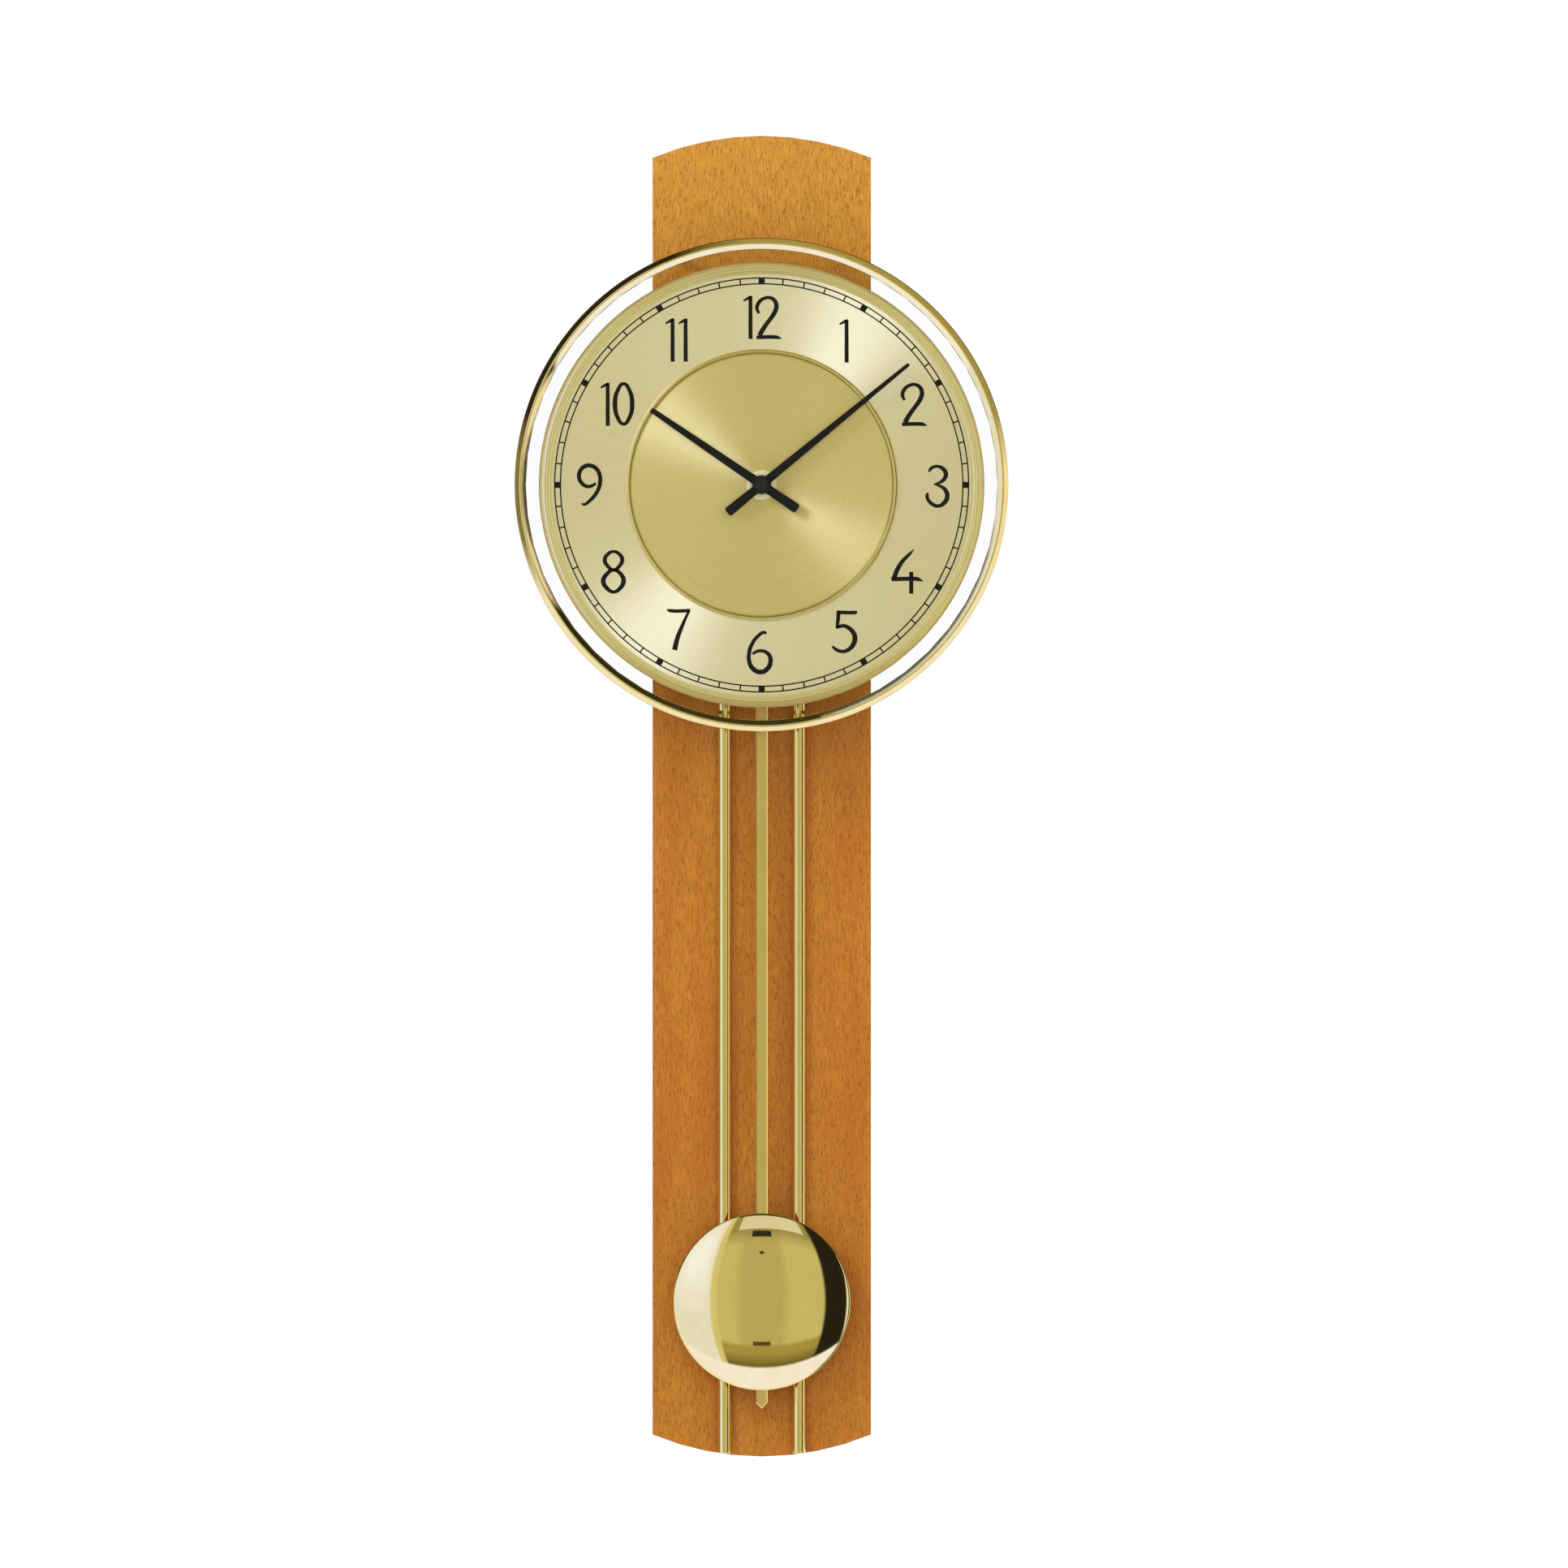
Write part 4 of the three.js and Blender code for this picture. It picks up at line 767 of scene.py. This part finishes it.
one = [[(-3.3, 7.5, 0.8), (-1.4, 8.6, 1.3), (0.4, 9.5, 1.2)], [(0.0, 9.8, 1.8), (0.0, -10.3, 2.0)]]
two = [
    [(-4.3, 1.7, 1.2), (-5.3, 4.0, 1.8), (-4.3, 6.9, 1.8), (-1.8, 8.7, 1.6), (0.6, 9.0, 1.6), (2.8, 7.8, 1.9),
     (3.8, 5.1, 2.2), (2.8, 1.8, 2.2), (0.3, -1.8, 2.0), (-2.2, -5.3, 2.2), (-4.1, -8.7, 2.4)],
    [(-5.5, -9.5, 1.8), (4.1, -9.5, 1.8), (5.3, -9.9, 1.0), (6.2, -10.2, 0.3)],
]
three = [
    [(-4.0, 6.7, 1.1), (-2.7, 8.4, 1.6), (0.0, 9.2, 1.4), (2.8, 7.9, 2.0), (4.0, 5.5, 2.2), (2.8, 2.8, 1.8),
     (0.6, 1.4, 1.3), (-1.6, 0.7, 0.6)],
    [(-1.5, 0.9, 0.6), (1.0, 0.1, 1.3), (3.6, -1.7, 2.0), (4.6, -4.8, 2.3), (3.4, -7.6, 2.2), (0.6, -9.3, 1.7),
     (-2.4, -8.4, 1.8), (-4.5, -6.0, 1.7), (-4.8, -4.5, 1.6), (-4.5, -3.1, 1.1)],
]
four = [
    [(3.5, 10.3, 0.4), (1.2, 7.8, 1.6), (-1.5, 5.1, 1.9), (-3.9, 1.5, 2.2), (-5.8, -3.2, 2.3)],
    [(-7.0, -3.6, 2.0), (5.4, -3.6, 2.0), (6.6, -4.1, 1.1), (7.9, -4.6, 0.3)],
    [(2.3, -0.2, 2.0), (2.3, -10.4, 2.0)],
]
five = [
    [(-3.9, 1.5, 0.8), (-2.6, 2.3, 1.6), (-0.6, 2.7, 1.8), (2.1, 1.6, 2.0), (4.1, -0.6, 2.3), (4.8, -3.0, 2.4),
     (3.9, -6.2, 2.3), (1.5, -8.6, 1.9), (-0.9, -9.3, 1.7), (-3.6, -8.6, 1.6), (-5.8, -6.9, 1.2)],
    [(-3.6, 9.0, 1.8), (5.1, 9.0, 1.8), (5.8, 9.4, 0.7)],
    [(-2.8, 9.6, 1.9), (-3.1, 5.7, 1.9), (-3.6, 1.6, 1.4)],
]
six = [
    [(3.4, 8.7, 1.2), (2.0, 9.1, 1.6), (-0.6, 7.4, 1.7), (-3.3, 3.9, 1.8), (-4.7, -0.3, 1.9), (-4.7, -4.5, 2.0),
     (-3.0, -7.8, 2.3), (0.4, -9.4, 2.3), (3.7, -8.0, 2.3), (5.2, -4.8, 2.2), (4.8, -1.8, 2.0), (2.8, 0.1, 1.7),
     (0.6, 0.5, 1.6), (-1.5, 0.1, 1.4), (-3.1, -1.0, 1.3)],
]
seven = [
    [(-5.6, 9.6, 0.5), (-4.0, 9.1, 1.7), (5.4, 9.1, 1.7)],
    [(5.0, 9.2, 1.2), (3.3, 5.7, 1.4), (1.5, 1.5, 1.8), (-0.4, -3.3, 2.2), (-1.9, -9.3, 2.5)],
]
eight = [
    [(0.3, 9.3, 1.4), (3.3, 7.8, 1.8), (4.4, 5.4, 2.0), (3.2, 2.7, 1.8), (0.4, 0.7, 1.6), (-2.6, 2.7, 1.8),
     (-3.8, 5.4, 2.0), (-2.6, 7.8, 1.8), (0.3, 9.3, 1.4)],
    [(0.4, 0.7, 1.6), (3.9, -1.5, 2.0), (5.0, -4.6, 2.3), (3.4, -7.8, 2.0), (0.3, -9.6, 1.6), (-2.8, -7.8, 2.0),
     (-4.5, -4.6, 2.3), (-3.1, -1.5, 2.0), (0.4, 0.7, 1.6)],
]
nine = [
    [(3.2, 0.5, 1.1), (1.2, -0.7, 1.6), (-0.9, -1.0, 1.7), (-3.3, 0.4, 1.9), (-4.7, 3.3, 2.0), (-4.1, 6.4, 2.0),
     (-2.1, 8.4, 2.0), (0.3, 8.8, 2.0), (3.2, 7.5, 2.0), (4.9, 4.5, 2.0), (5.2, 1.5, 2.0), (4.5, -1.8, 1.9),
     (2.4, -5.4, 1.8), (-0.3, -8.2, 1.6), (-2.2, -9.4, 1.3), (-3.6, -9.0, 0.8)],
]
nought = [
    [(0.0, 9.4, 1.6), (2.7, 6.4, 1.9), (4.0, 0.0, 2.3), (2.7, -6.5, 1.9), (0.0, -9.4, 1.6), (-2.7, -6.5, 1.9),
     (-4.0, 0.0, 2.3), (-2.7, 6.4, 1.9), (0.0, 9.4, 1.6)],
]
numerals = {  # each figure's middle from the dial's centre, and its digits with their shift across
    1: (38.4, 67.5, [(one, 1.3)]), 2: (71.1, 37.9, [(two, 0)]), 3: (82.1, -0.5, [(three, 0)]),
    4: (67.6, -40.4, [(four, 0)]), 5: (38.8, -68.5, [(five, 0)]), 6: (-1.1, -78.0, [(six, 0)]),
    7: (-38.8, -67.8, [(seven, 0)]), 8: (-69.5, -40.4, [(eight, 0)]), 9: (-80.6, 0.3, [(nine, 0)]),
    10: (-67.6, 37.9, [(one, -4.3), (nought, 3.1)]), 11: (-39.9, 67.9, [(one, -1.7), (one, 4.4)]),
    12: (0.4, 78.5, [(one, -5.6), (two, 2.7)]),
}
for hour, (across, up, digits) in numerals.items():
    pen = bpy.data.curves.new("numeral_pen", "CURVE")
    pen.dimensions, pen.twist_mode, pen.fill_mode = "3D", "Z_UP", "FULL"
    pen.extrude, pen.bevel_depth, pen.bevel_resolution = 0.47 * mm, 0.03 * mm, 0
    pen.use_fill_caps, pen.resolution_u = True, 6
    for digit, shift in digits:
        for stroke in digit:
            closed = stroke[0] == stroke[-1]
            points = stroke[:-1] if closed else stroke
            line = pen.splines.new("BEZIER")
            line.bezier_points.add(len(points) - 1)
            line.use_cyclic_u = closed
            for dot, (x, y, width) in zip(line.bezier_points, points):
                dot.co = ((x + shift) * mm, y * mm, 0)
                dot.radius, dot.tilt = width, pi / 2
                dot.handle_left_type = dot.handle_right_type = "AUTO"
    drawn = bpy.data.objects.new("numeral_pen", pen)
    bpy.context.scene.collection.objects.link(drawn)
    bpy.context.view_layer.update()
    flat = bpy.data.meshes.new_from_object(drawn.evaluated_get(bpy.context.evaluated_depsgraph_get()))
    bpy.data.objects.remove(drawn)
    shape = bmesh.new()
    shape.from_mesh(flat)
    bpy.data.meshes.remove(flat)
    for vert in shape.verts:
        vert.co.z = (ink_proud if vert.co.z > 0 else -ink_sunk)
    bmesh.ops.rotate(shape, verts=shape.verts, cent=(0, 0, 0), matrix=Matrix.Rotation(pi / 2, 3, "X"))
    bmesh.ops.translate(
        shape, verts=shape.verts, vec=dial_centre + Vector((across * mm, -front, up * mm)),
    )
    made(shape, f"numeral_{hour}", ink)

# ---- Bezel ring and posts --------------------------------------------------------------------------
# A polished brass ring 230 mm across whose front edge is turned to a fine rounded ridge, standing clear
# of the dial on four turned pins that are glued into the board.

_, ring_outer, ring_back, ring_top = round_size("bezel_ring")
ring_steps, pin_steps, pin_radius, shoulder, tenon_step = 240, 40, 1.8 * mm, 0.3 * mm, 0.5 * mm
bead, wall, outer_fall, inner_fall = 5.2 * mm, 3.7 * mm, 2.05 * mm, 1.84 * mm
shape = spun(bmesh.new(), [
    (ring_outer - wall, ring_back), (ring_outer, ring_back), (ring_outer, ring_top - outer_fall),
    (ring_outer - bead / 2, ring_top), (ring_outer - bead, ring_top - inner_fall),
    (ring_outer - bead, ring_top - bead / 2), (ring_outer - wall, ring_top - bead / 2),
], dial_centre, ring_steps, rounds={1: 0.3 * mm, 2: 0.5 * mm, 3: 0.55 * mm})
ring_brass = polished_brass("ring brass", 0.03, 0.07)
made(shape, "bezel_ring_turned", ring_brass, instead=["bezel_ring"])
for number in range(1, 5):
    centre, _, pin_back, pin_front = round_size(f"bezel_post_{number}")
    shape = spun(bmesh.new(), [
        (0, pin_back), (pin_radius - shoulder, pin_back), (pin_radius - shoulder, -veneer_low.y),
        (pin_radius, -veneer_low.y), (pin_radius, ring_back), (pin_radius - tenon_step, ring_back),
        (pin_radius - tenon_step, pin_front), (0, pin_front),
    ], centre, pin_steps, closed=False)
    made(
        shape, f"bezel_pin_{number}", ring_brass,
        instead=[f"bezel_post_{number}"],
    )

# ---- Crystal ---------------------------------------------------------------------------------------
# Domed mineral glass 2.5 mm thick over the whole dial, held in the ring by a thin steel hoop. Light
# goes straight through it. Its index is kept low, at 1.14, so that it mirrors less than real glass.
# Seen from more than about 60 degrees off the front, its inner face wrongly mirrors everything.

glass = bpy.data.materials.new("clear glass")
glass.use_nodes = True
tree = glass.node_tree
tree.nodes.clear()
smear = speckle(tree, 25, 3, 0.6)
clear = add(tree, "BsdfTransparent", [(0.985, 0.992, 0.988, 1)])
shine = add(tree, "BsdfGlossy", [(0.95, 0.85, 0.5, 1)])
tree.links.new(spread(tree, smear, 0.4, 0.8, 0.0, 0.06), shine.inputs["Roughness"])
mirrored = add(tree, "Fresnel", [1.14]).outputs[0]
pane = add(tree, "MixShader", [mirrored, clear.outputs[0], shine.outputs[0]])
tree.links.new(pane.outputs[0], add(tree, "OutputMaterial").inputs["Surface"])
_, crystal_radius, crystal_back, crystal_crown = round_size("crystal")
crystal_wall, crystal_rings = 2.5 * mm, 24
crystal_rise = crystal_crown - crystal_back - crystal_wall
shape, inner = (
    dome(bmesh.new(), crystal_radius, edge, crystal_rise, dial_centre, dial_steps, crystal_rings)
    for edge in (crystal_back + crystal_wall, crystal_back)
)
bmesh.ops.reverse_faces(inner, faces=inner.faces)
back_of_pane = bpy.data.meshes.new("pane_back")
inner.to_mesh(back_of_pane)
inner.free()
shape.from_mesh(back_of_pane)
bpy.data.meshes.remove(back_of_pane)
bmesh.ops.bridge_loops(shape, edges=[e for e in shape.edges if len(e.link_faces) == 1])
made(shape, "crystal_dome", glass, instead=["crystal"], sharp=60)

# ---- Hand fixing -----------------------------------------------------------------------------------
# A brass washer and a turned brass nut on the movement's threaded neck clamp the dial. Their edges
# show as a bright ring behind the hands.

_, washer_radius, washer_back, washer_front = round_size("centre_washer")
fixing_steps, nut_rim, nut_bevel = 64, 1.5 * mm, 0.2 * mm
pale_brass, tree, shader = new_finish("nickelled brass", (0.96, 0.88, 0.60), 0.4, 0.34)
swirl = speckle(tree, 0.4, 3, 0.6)
varied(tree, shader, swirl, (0.97, 0.90, 0.64), (0.93, 0.83, 0.54), 0.28, 0.42)
shape = spun(bmesh.new(), [
    (hole, washer_back), (washer_radius, washer_back), (washer_radius, washer_front), (hole, washer_front),
], dial_centre, fixing_steps, rounds={2: 0.15 * mm})
made(shape, "dial_washer", pale_brass, instead=["centre_washer"])
_, nut_radius, nut_back, nut_front = round_size("centre_nut")
shape = spun(bmesh.new(), [
    (hole, nut_back), (nut_radius, nut_back), (nut_radius, nut_front), (nut_radius - nut_rim, nut_front),
    (nut_radius - nut_rim - nut_bevel, nut_front - 0.3 * mm), (hole, nut_front - 0.3 * mm),
], dial_centre, fixing_steps, rounds={2: 0.5 * mm})
made(shape, "dial_nut", pale_brass, instead=["centre_nut"])

# ---- Hands -----------------------------------------------------------------------------------------
# Two flat bars blanked from aluminium strip 0.5 mm thick, tapering to a round tip, with a short tail,
# painted satin black. A domed black cap nut holds them on.

hand_paint, tree, shader = new_finish(
    "satin black paint", (0.006, 0.006, 0.007), 0.0, 0.36, Specular_IOR_Level=0.08,
)
flow = speckle(tree, 0.5, 3, 0.6)
varied(tree, shader, flow, (0.005, 0.005, 0.006), (0.011, 0.010, 0.010), 0.30, 0.44)
relief(tree, shader, flow, 0.006 * mm)


def hand(node, name, body, turn, length, tail, hub, tip, tail_width, bore):
    """A hand pointing up from its hub, then turned clockwise to its place at rest."""
    low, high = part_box(node)
    back, front = -high.y, -low.y
    shape = bmesh.new()
    up = Matrix.Translation((0, -back, 0)) @ Matrix.Rotation(pi / 2, 4, "X")
    rim = bmesh.ops.create_circle(shape, cap_ends=False, radius=hub, segments=36, matrix=up)["verts"]
    bmesh.ops.create_circle(shape, cap_ends=False, radius=bore, segments=36, matrix=up)
    bmesh.ops.bridge_loops(shape, edges=list(shape.edges))
    for way, reach, half in ((1, length, tip / 2), (-1, tail, tail_width / 2)):
        root = [
            e for e in shape.edges
            if all(v in rim and v.co.z * way > 0 and abs(v.co.x) < 0.55 * hub for v in e.verts)
        ]
        grown = bmesh.ops.extrude_edge_only(shape, edges=root)["geom"]
        ends = [v for v in grown if isinstance(v, bmesh.types.BMVert)]
        widest = max(abs(v.co.x) for v in ends)
        for vert in ends:
            share = vert.co.x / widest
            drop = half * (1 - sqrt(max(0, 1 - share ** 2))) if way == 1 else 0.3 * half * share ** 4
            vert.co.x = share * half
            vert.co.z = way * (reach - drop)
    bmesh.ops.solidify(shape, geom=list(shape.faces), thickness=front - back)
    level = [v.co.y for v in shape.verts]
    bmesh.ops.translate(shape, verts=shape.verts, vec=(0, low.y - min(level), 0))
    bmesh.ops.recalc_face_normals(shape, faces=shape.faces)
    edges = [
        e for e in shape.edges
        if all(v.co.y < low.y + 1e-5 for v in e.verts) and e.calc_face_angle(0) > 1
    ]
    ease(shape, edges, 0.1 * mm)
    bmesh.ops.rotate(
        shape, verts=shape.verts, cent=(0, 0, 0), matrix=Matrix.Rotation(radians(turn), 3, "Y"),
    )
    bmesh.ops.translate(shape, verts=shape.verts, vec=dial_centre)
    return made(shape, name, hand_paint, body, [node], 40)


hand(
    "hour_hand", "hour_bar", "hour", turn=304.2, length=62.5 * mm, tail=20.3 * mm, hub=4.2 * mm,
    tip=2.5 * mm, tail_width=4.6 * mm, bore=2.55 * mm,
)
hand(
    "minute_hand", "minute_bar", "minute", turn=50.7, length=89 * mm, tail=20.7 * mm, hub=4.0 * mm,
    tip=1.7 * mm, tail_width=4.6 * mm, bore=1.55 * mm,
)
_, cap_radius, cap_back, cap_top = round_size("cap_nut")
shape = spun(bmesh.new(), [
    (0, cap_back), (cap_radius, cap_back), (cap_radius, cap_back + 1.3 * mm),
    (cap_radius - 0.9 * mm, cap_back + 1.9 * mm), (cap_radius - 1.1 * mm, cap_top - 0.5 * mm),
    (cap_radius - 2.2 * mm, cap_top), (0, cap_top),
], dial_centre, 48, closed=False, rounds={2: 0.3 * mm, 4: 0.5 * mm, 5: 0.5 * mm})
cap_finish, tree, shader = new_finish(
    "black lacquer", (0.006, 0.006, 0.007), 0.0, 0.2, Specular_IOR_Level=0.15,
)
dust = speckle(tree, 0.8, 3, 0.6)
varied(tree, shader, dust, (0.008, 0.008, 0.009), (0.02, 0.019, 0.018), 0.08, 0.18)
made(shape, "hand_cap", cap_finish, "minute", ["cap_nut"], 35)

# ---- Stage -----------------------------------------------------------------------------------------
# A pale floor well below the clock, a soft key light from the upper left and a studio of pale cards
# that the brass mirrors. A bluish lamp lights only the two brushed pieces of the dial, for their
# fans. The camera stands straight in front with a long lens and sees white behind the clock.

floor_finish, tree, shader = new_finish("pale floor", (0.84, 0.84, 0.83), 0.0, 0.6)
floor_shape = bmesh.new()
floor_height, floor_reach = cad_box[0][2] - 0.35, 3
bmesh.ops.create_grid(
    floor_shape, x_segments=1, y_segments=1, size=floor_reach,
    matrix=Matrix.Translation((0, 0, floor_height)),
)
floor_mesh = bpy.data.meshes.new("floor")
floor_shape.to_mesh(floor_mesh)
floor_shape.free()
floor_mesh.materials.append(floor_finish)
floor = bpy.data.objects.new("floor", floor_mesh)
bpy.context.scene.collection.objects.link(floor)
floor.visible_glossy = False


def card_light(name, aim, place, width, height, power, colour=(1, 1, 1), gloss=True, shade=True):
    """A soft rectangular lamp that the camera doesn't see, facing what it is aimed at."""
    lamp = bpy.data.lights.new(name, "AREA")
    lamp.shape, lamp.size, lamp.size_y = "RECTANGLE", width, height
    lamp.energy, lamp.color = power, colour
    holder = bpy.data.objects.new(name, lamp)
    holder.location = place
    holder.rotation_euler = (Vector(aim) - Vector(place)).to_track_quat("-Z", "Y").to_euler()
    holder.visible_camera = False
    holder.visible_glossy, holder.visible_diffuse = gloss, shade
    bpy.context.scene.collection.objects.link(holder)
    return holder


key_place = dial_centre + Vector((-0.70, -1.0, 0.49)) * 1.15
card_light("key", (0, 0, -0.15), key_place, 0.30, 0.30, 4.9, gloss=False)
fan = card_light(
    "fan", dial_centre, dial_centre + Vector((-1.15, -1.0, 0.80)) * 3.0, 2.0, 2.0, 330,
    (0.46, 0.54, 1.0), shade=False,
)
brushed_pieces = bpy.data.collections.new("brushed pieces")
for name in ("dial_face", "dial_disc"):
    brushed_pieces.objects.link(bpy.data.objects[name])
fan.light_linking.receiver_collection = brushed_pieces

world = bpy.data.worlds.new("studio")
bpy.context.scene.world = world
world.use_nodes = True
tree = world.node_tree
tree.nodes.clear()
way = add(tree, "SeparateXYZ", [add(tree, "TexCoord").outputs["Generated"]])
ahead = maths(tree, "MAXIMUM", maths(tree, "MULTIPLY", way.outputs[1], -1.0), 0.001)
aside = maths(tree, "DIVIDE", way.outputs[0], ahead)
above = maths(tree, "DIVIDE", way.outputs[2], ahead)
studio = (0.62, 0.65, 0.52)
steps = [  # what stands in front of the clock: (measure, from, to, colour), each over the ones before
    (maths(tree, "ABSOLUTE", aside), 0.40, 0.26, (0.53, 0.53, 0.40)),
    (above, 0.95, 1.45, (0.34, 0.33, 0.22)),
    (above, 2.24, 2.30, (0.06, 0.055, 0.03)),
    (above, -0.64, -0.72, (0.42, 0.38, 0.19)),
    (above, -0.85, -1.22, (0.17, 0.15, 0.06)),
    (aside, 1.08, 1.16, (0.02, 0.02, 0.02)),
    (aside, 2.28, 2.34, (1.0, 1.0, 1.5)),
    (aside, 2.56, 2.62, (0.05, 0.045, 0.03)),
    (aside, -0.66, -0.68, (0.72, 0.74, 0.60)),
    (aside, -0.78, -0.84, (0.87, 1.02, 2.05)),
    (above, -1.22, -1.30, (1.02, 1.15, 2.5)),
]
seen = None
for measure, start, end, colour in steps:
    seen = blend(tree, spread(tree, measure, start, end), seen or studio, colour)


def window(across, up, half_width, half_height):
    """One inside a rectangle in front of the clock, and nought outside it."""
    inside = [
        maths(tree, "LESS_THAN", maths(tree, "ABSOLUTE", maths(tree, "SUBTRACT", measure, middle)), half)
        for measure, middle, half in ((aside, across, half_width), (above, up, half_height))
    ]
    return maths(tree, "MULTIPLY", *inside)


spot = add(tree, "CombineXYZ", [aside, above]).outputs[0]
off = add(tree, "VectorMath", [spot, (-1.5, 1.0, 0)], operation="DISTANCE").outputs["Value"]
glow = maths(tree, "MULTIPLY", spread(tree, off, 1.3, 0.2), spread(tree, aside, -0.84, -0.95))
seen = blend(tree, glow, seen, (1.05, 1.25, 3.0))
seen = blend(tree, window(0.23, 1.86, 0.71, 0.41), seen, (0.78, 0.84, 1.25))
seen = blend(tree, window(0, 1.25, 0.18, 0.11), seen, (0.03, 0.03, 0.03))
seen = blend(tree, window(0.0, 0.73, 0.03, 0.03), seen, (0.03, 0.03, 0.03))
seen = blend(tree, window(0.0, -0.64, 0.13, 0.04), seen, (0.10, 0.08, 0.03))
leftward = spread(tree, way.outputs[0], -0.05, -0.35)
rightward = spread(tree, way.outputs[0], 0.05, 0.35)
upward = spread(tree, way.outputs[2], 0.10, 0.30)
downward = spread(tree, way.outputs[2], -0.20, -0.45)
beside = blend(tree, leftward, (1.0, 1.0, 1.3), (0.26, 0.24, 0.17))
beside = blend(tree, upward, beside, (0.42, 0.38, 0.22))
beside = blend(tree, maths(tree, "MULTIPLY", upward, leftward), beside, (0.03, 0.025, 0.018))
beside = blend(tree, downward, beside, (1.0, 1.08, 1.9))
slanting = maths(tree, "MULTIPLY", rightward, spread(tree, way.outputs[2], -0.82, -0.70))
slanting = blend(tree, slanting, (1.0, 1.03, 1.3), (0.03, 0.025, 0.015))
slanting = blend(tree, upward, slanting, (0.05, 0.045, 0.02))
seen = blend(tree, spread(tree, way.outputs[1], -0.348, -0.340), seen, slanting)
seen = blend(tree, spread(tree, way.outputs[1], -0.30, -0.26), seen, beside)
behind = blend(tree, leftward, (1.0, 1.0, 1.3), (0.30, 0.28, 0.20))
behind = blend(tree, upward, behind, (0.05, 0.04, 0.015))
behind = blend(tree, spread(tree, way.outputs[2], -0.10, -0.30), behind, (0.85, 0.85, 0.95))
seen = blend(tree, spread(tree, way.outputs[1], -0.12, -0.08), seen, behind)
ray = add(tree, "LightPath")
fill = blend(tree, spread(tree, way.outputs[1], -0.70, -0.97), (0.36, 0.36, 0.36), (2.45, 2.45, 2.45))
fill = blend(tree, spread(tree, way.outputs[1], 0.0, 0.2), fill, (0.8, 0.8, 0.8))
fill = blend(tree, spread(tree, way.outputs[2], 0.35, 0.8), fill, (1.15, 1.15, 1.15))
colour = blend(tree, ray.outputs["Is Glossy Ray"], fill, seen)
colour = blend(tree, ray.outputs["Is Camera Ray"], colour, (1, 1, 1))
sky = add(tree, "Background", [colour, 1.0])
tree.links.new(sky.outputs[0], add(tree, "OutputWorld").inputs["Surface"])
world.cycles.sampling_method = "NONE"

bpy.context.scene.view_settings.view_transform = "Standard"
camera = bpy.data.objects.new("camera", bpy.data.cameras.new("camera"))
bpy.context.scene.collection.objects.link(camera)
view_distance, view_width, object_plane = 9.0, 0.7342, -0.04
camera.location = (0.01045, -view_distance + object_plane, -0.2543)
camera.rotation_euler = (pi / 2, 0, 0)
camera.data.sensor_width = 36
camera.data.lens = 36 * view_distance / view_width
camera.data.clip_end = 100
bpy.context.scene.camera = camera
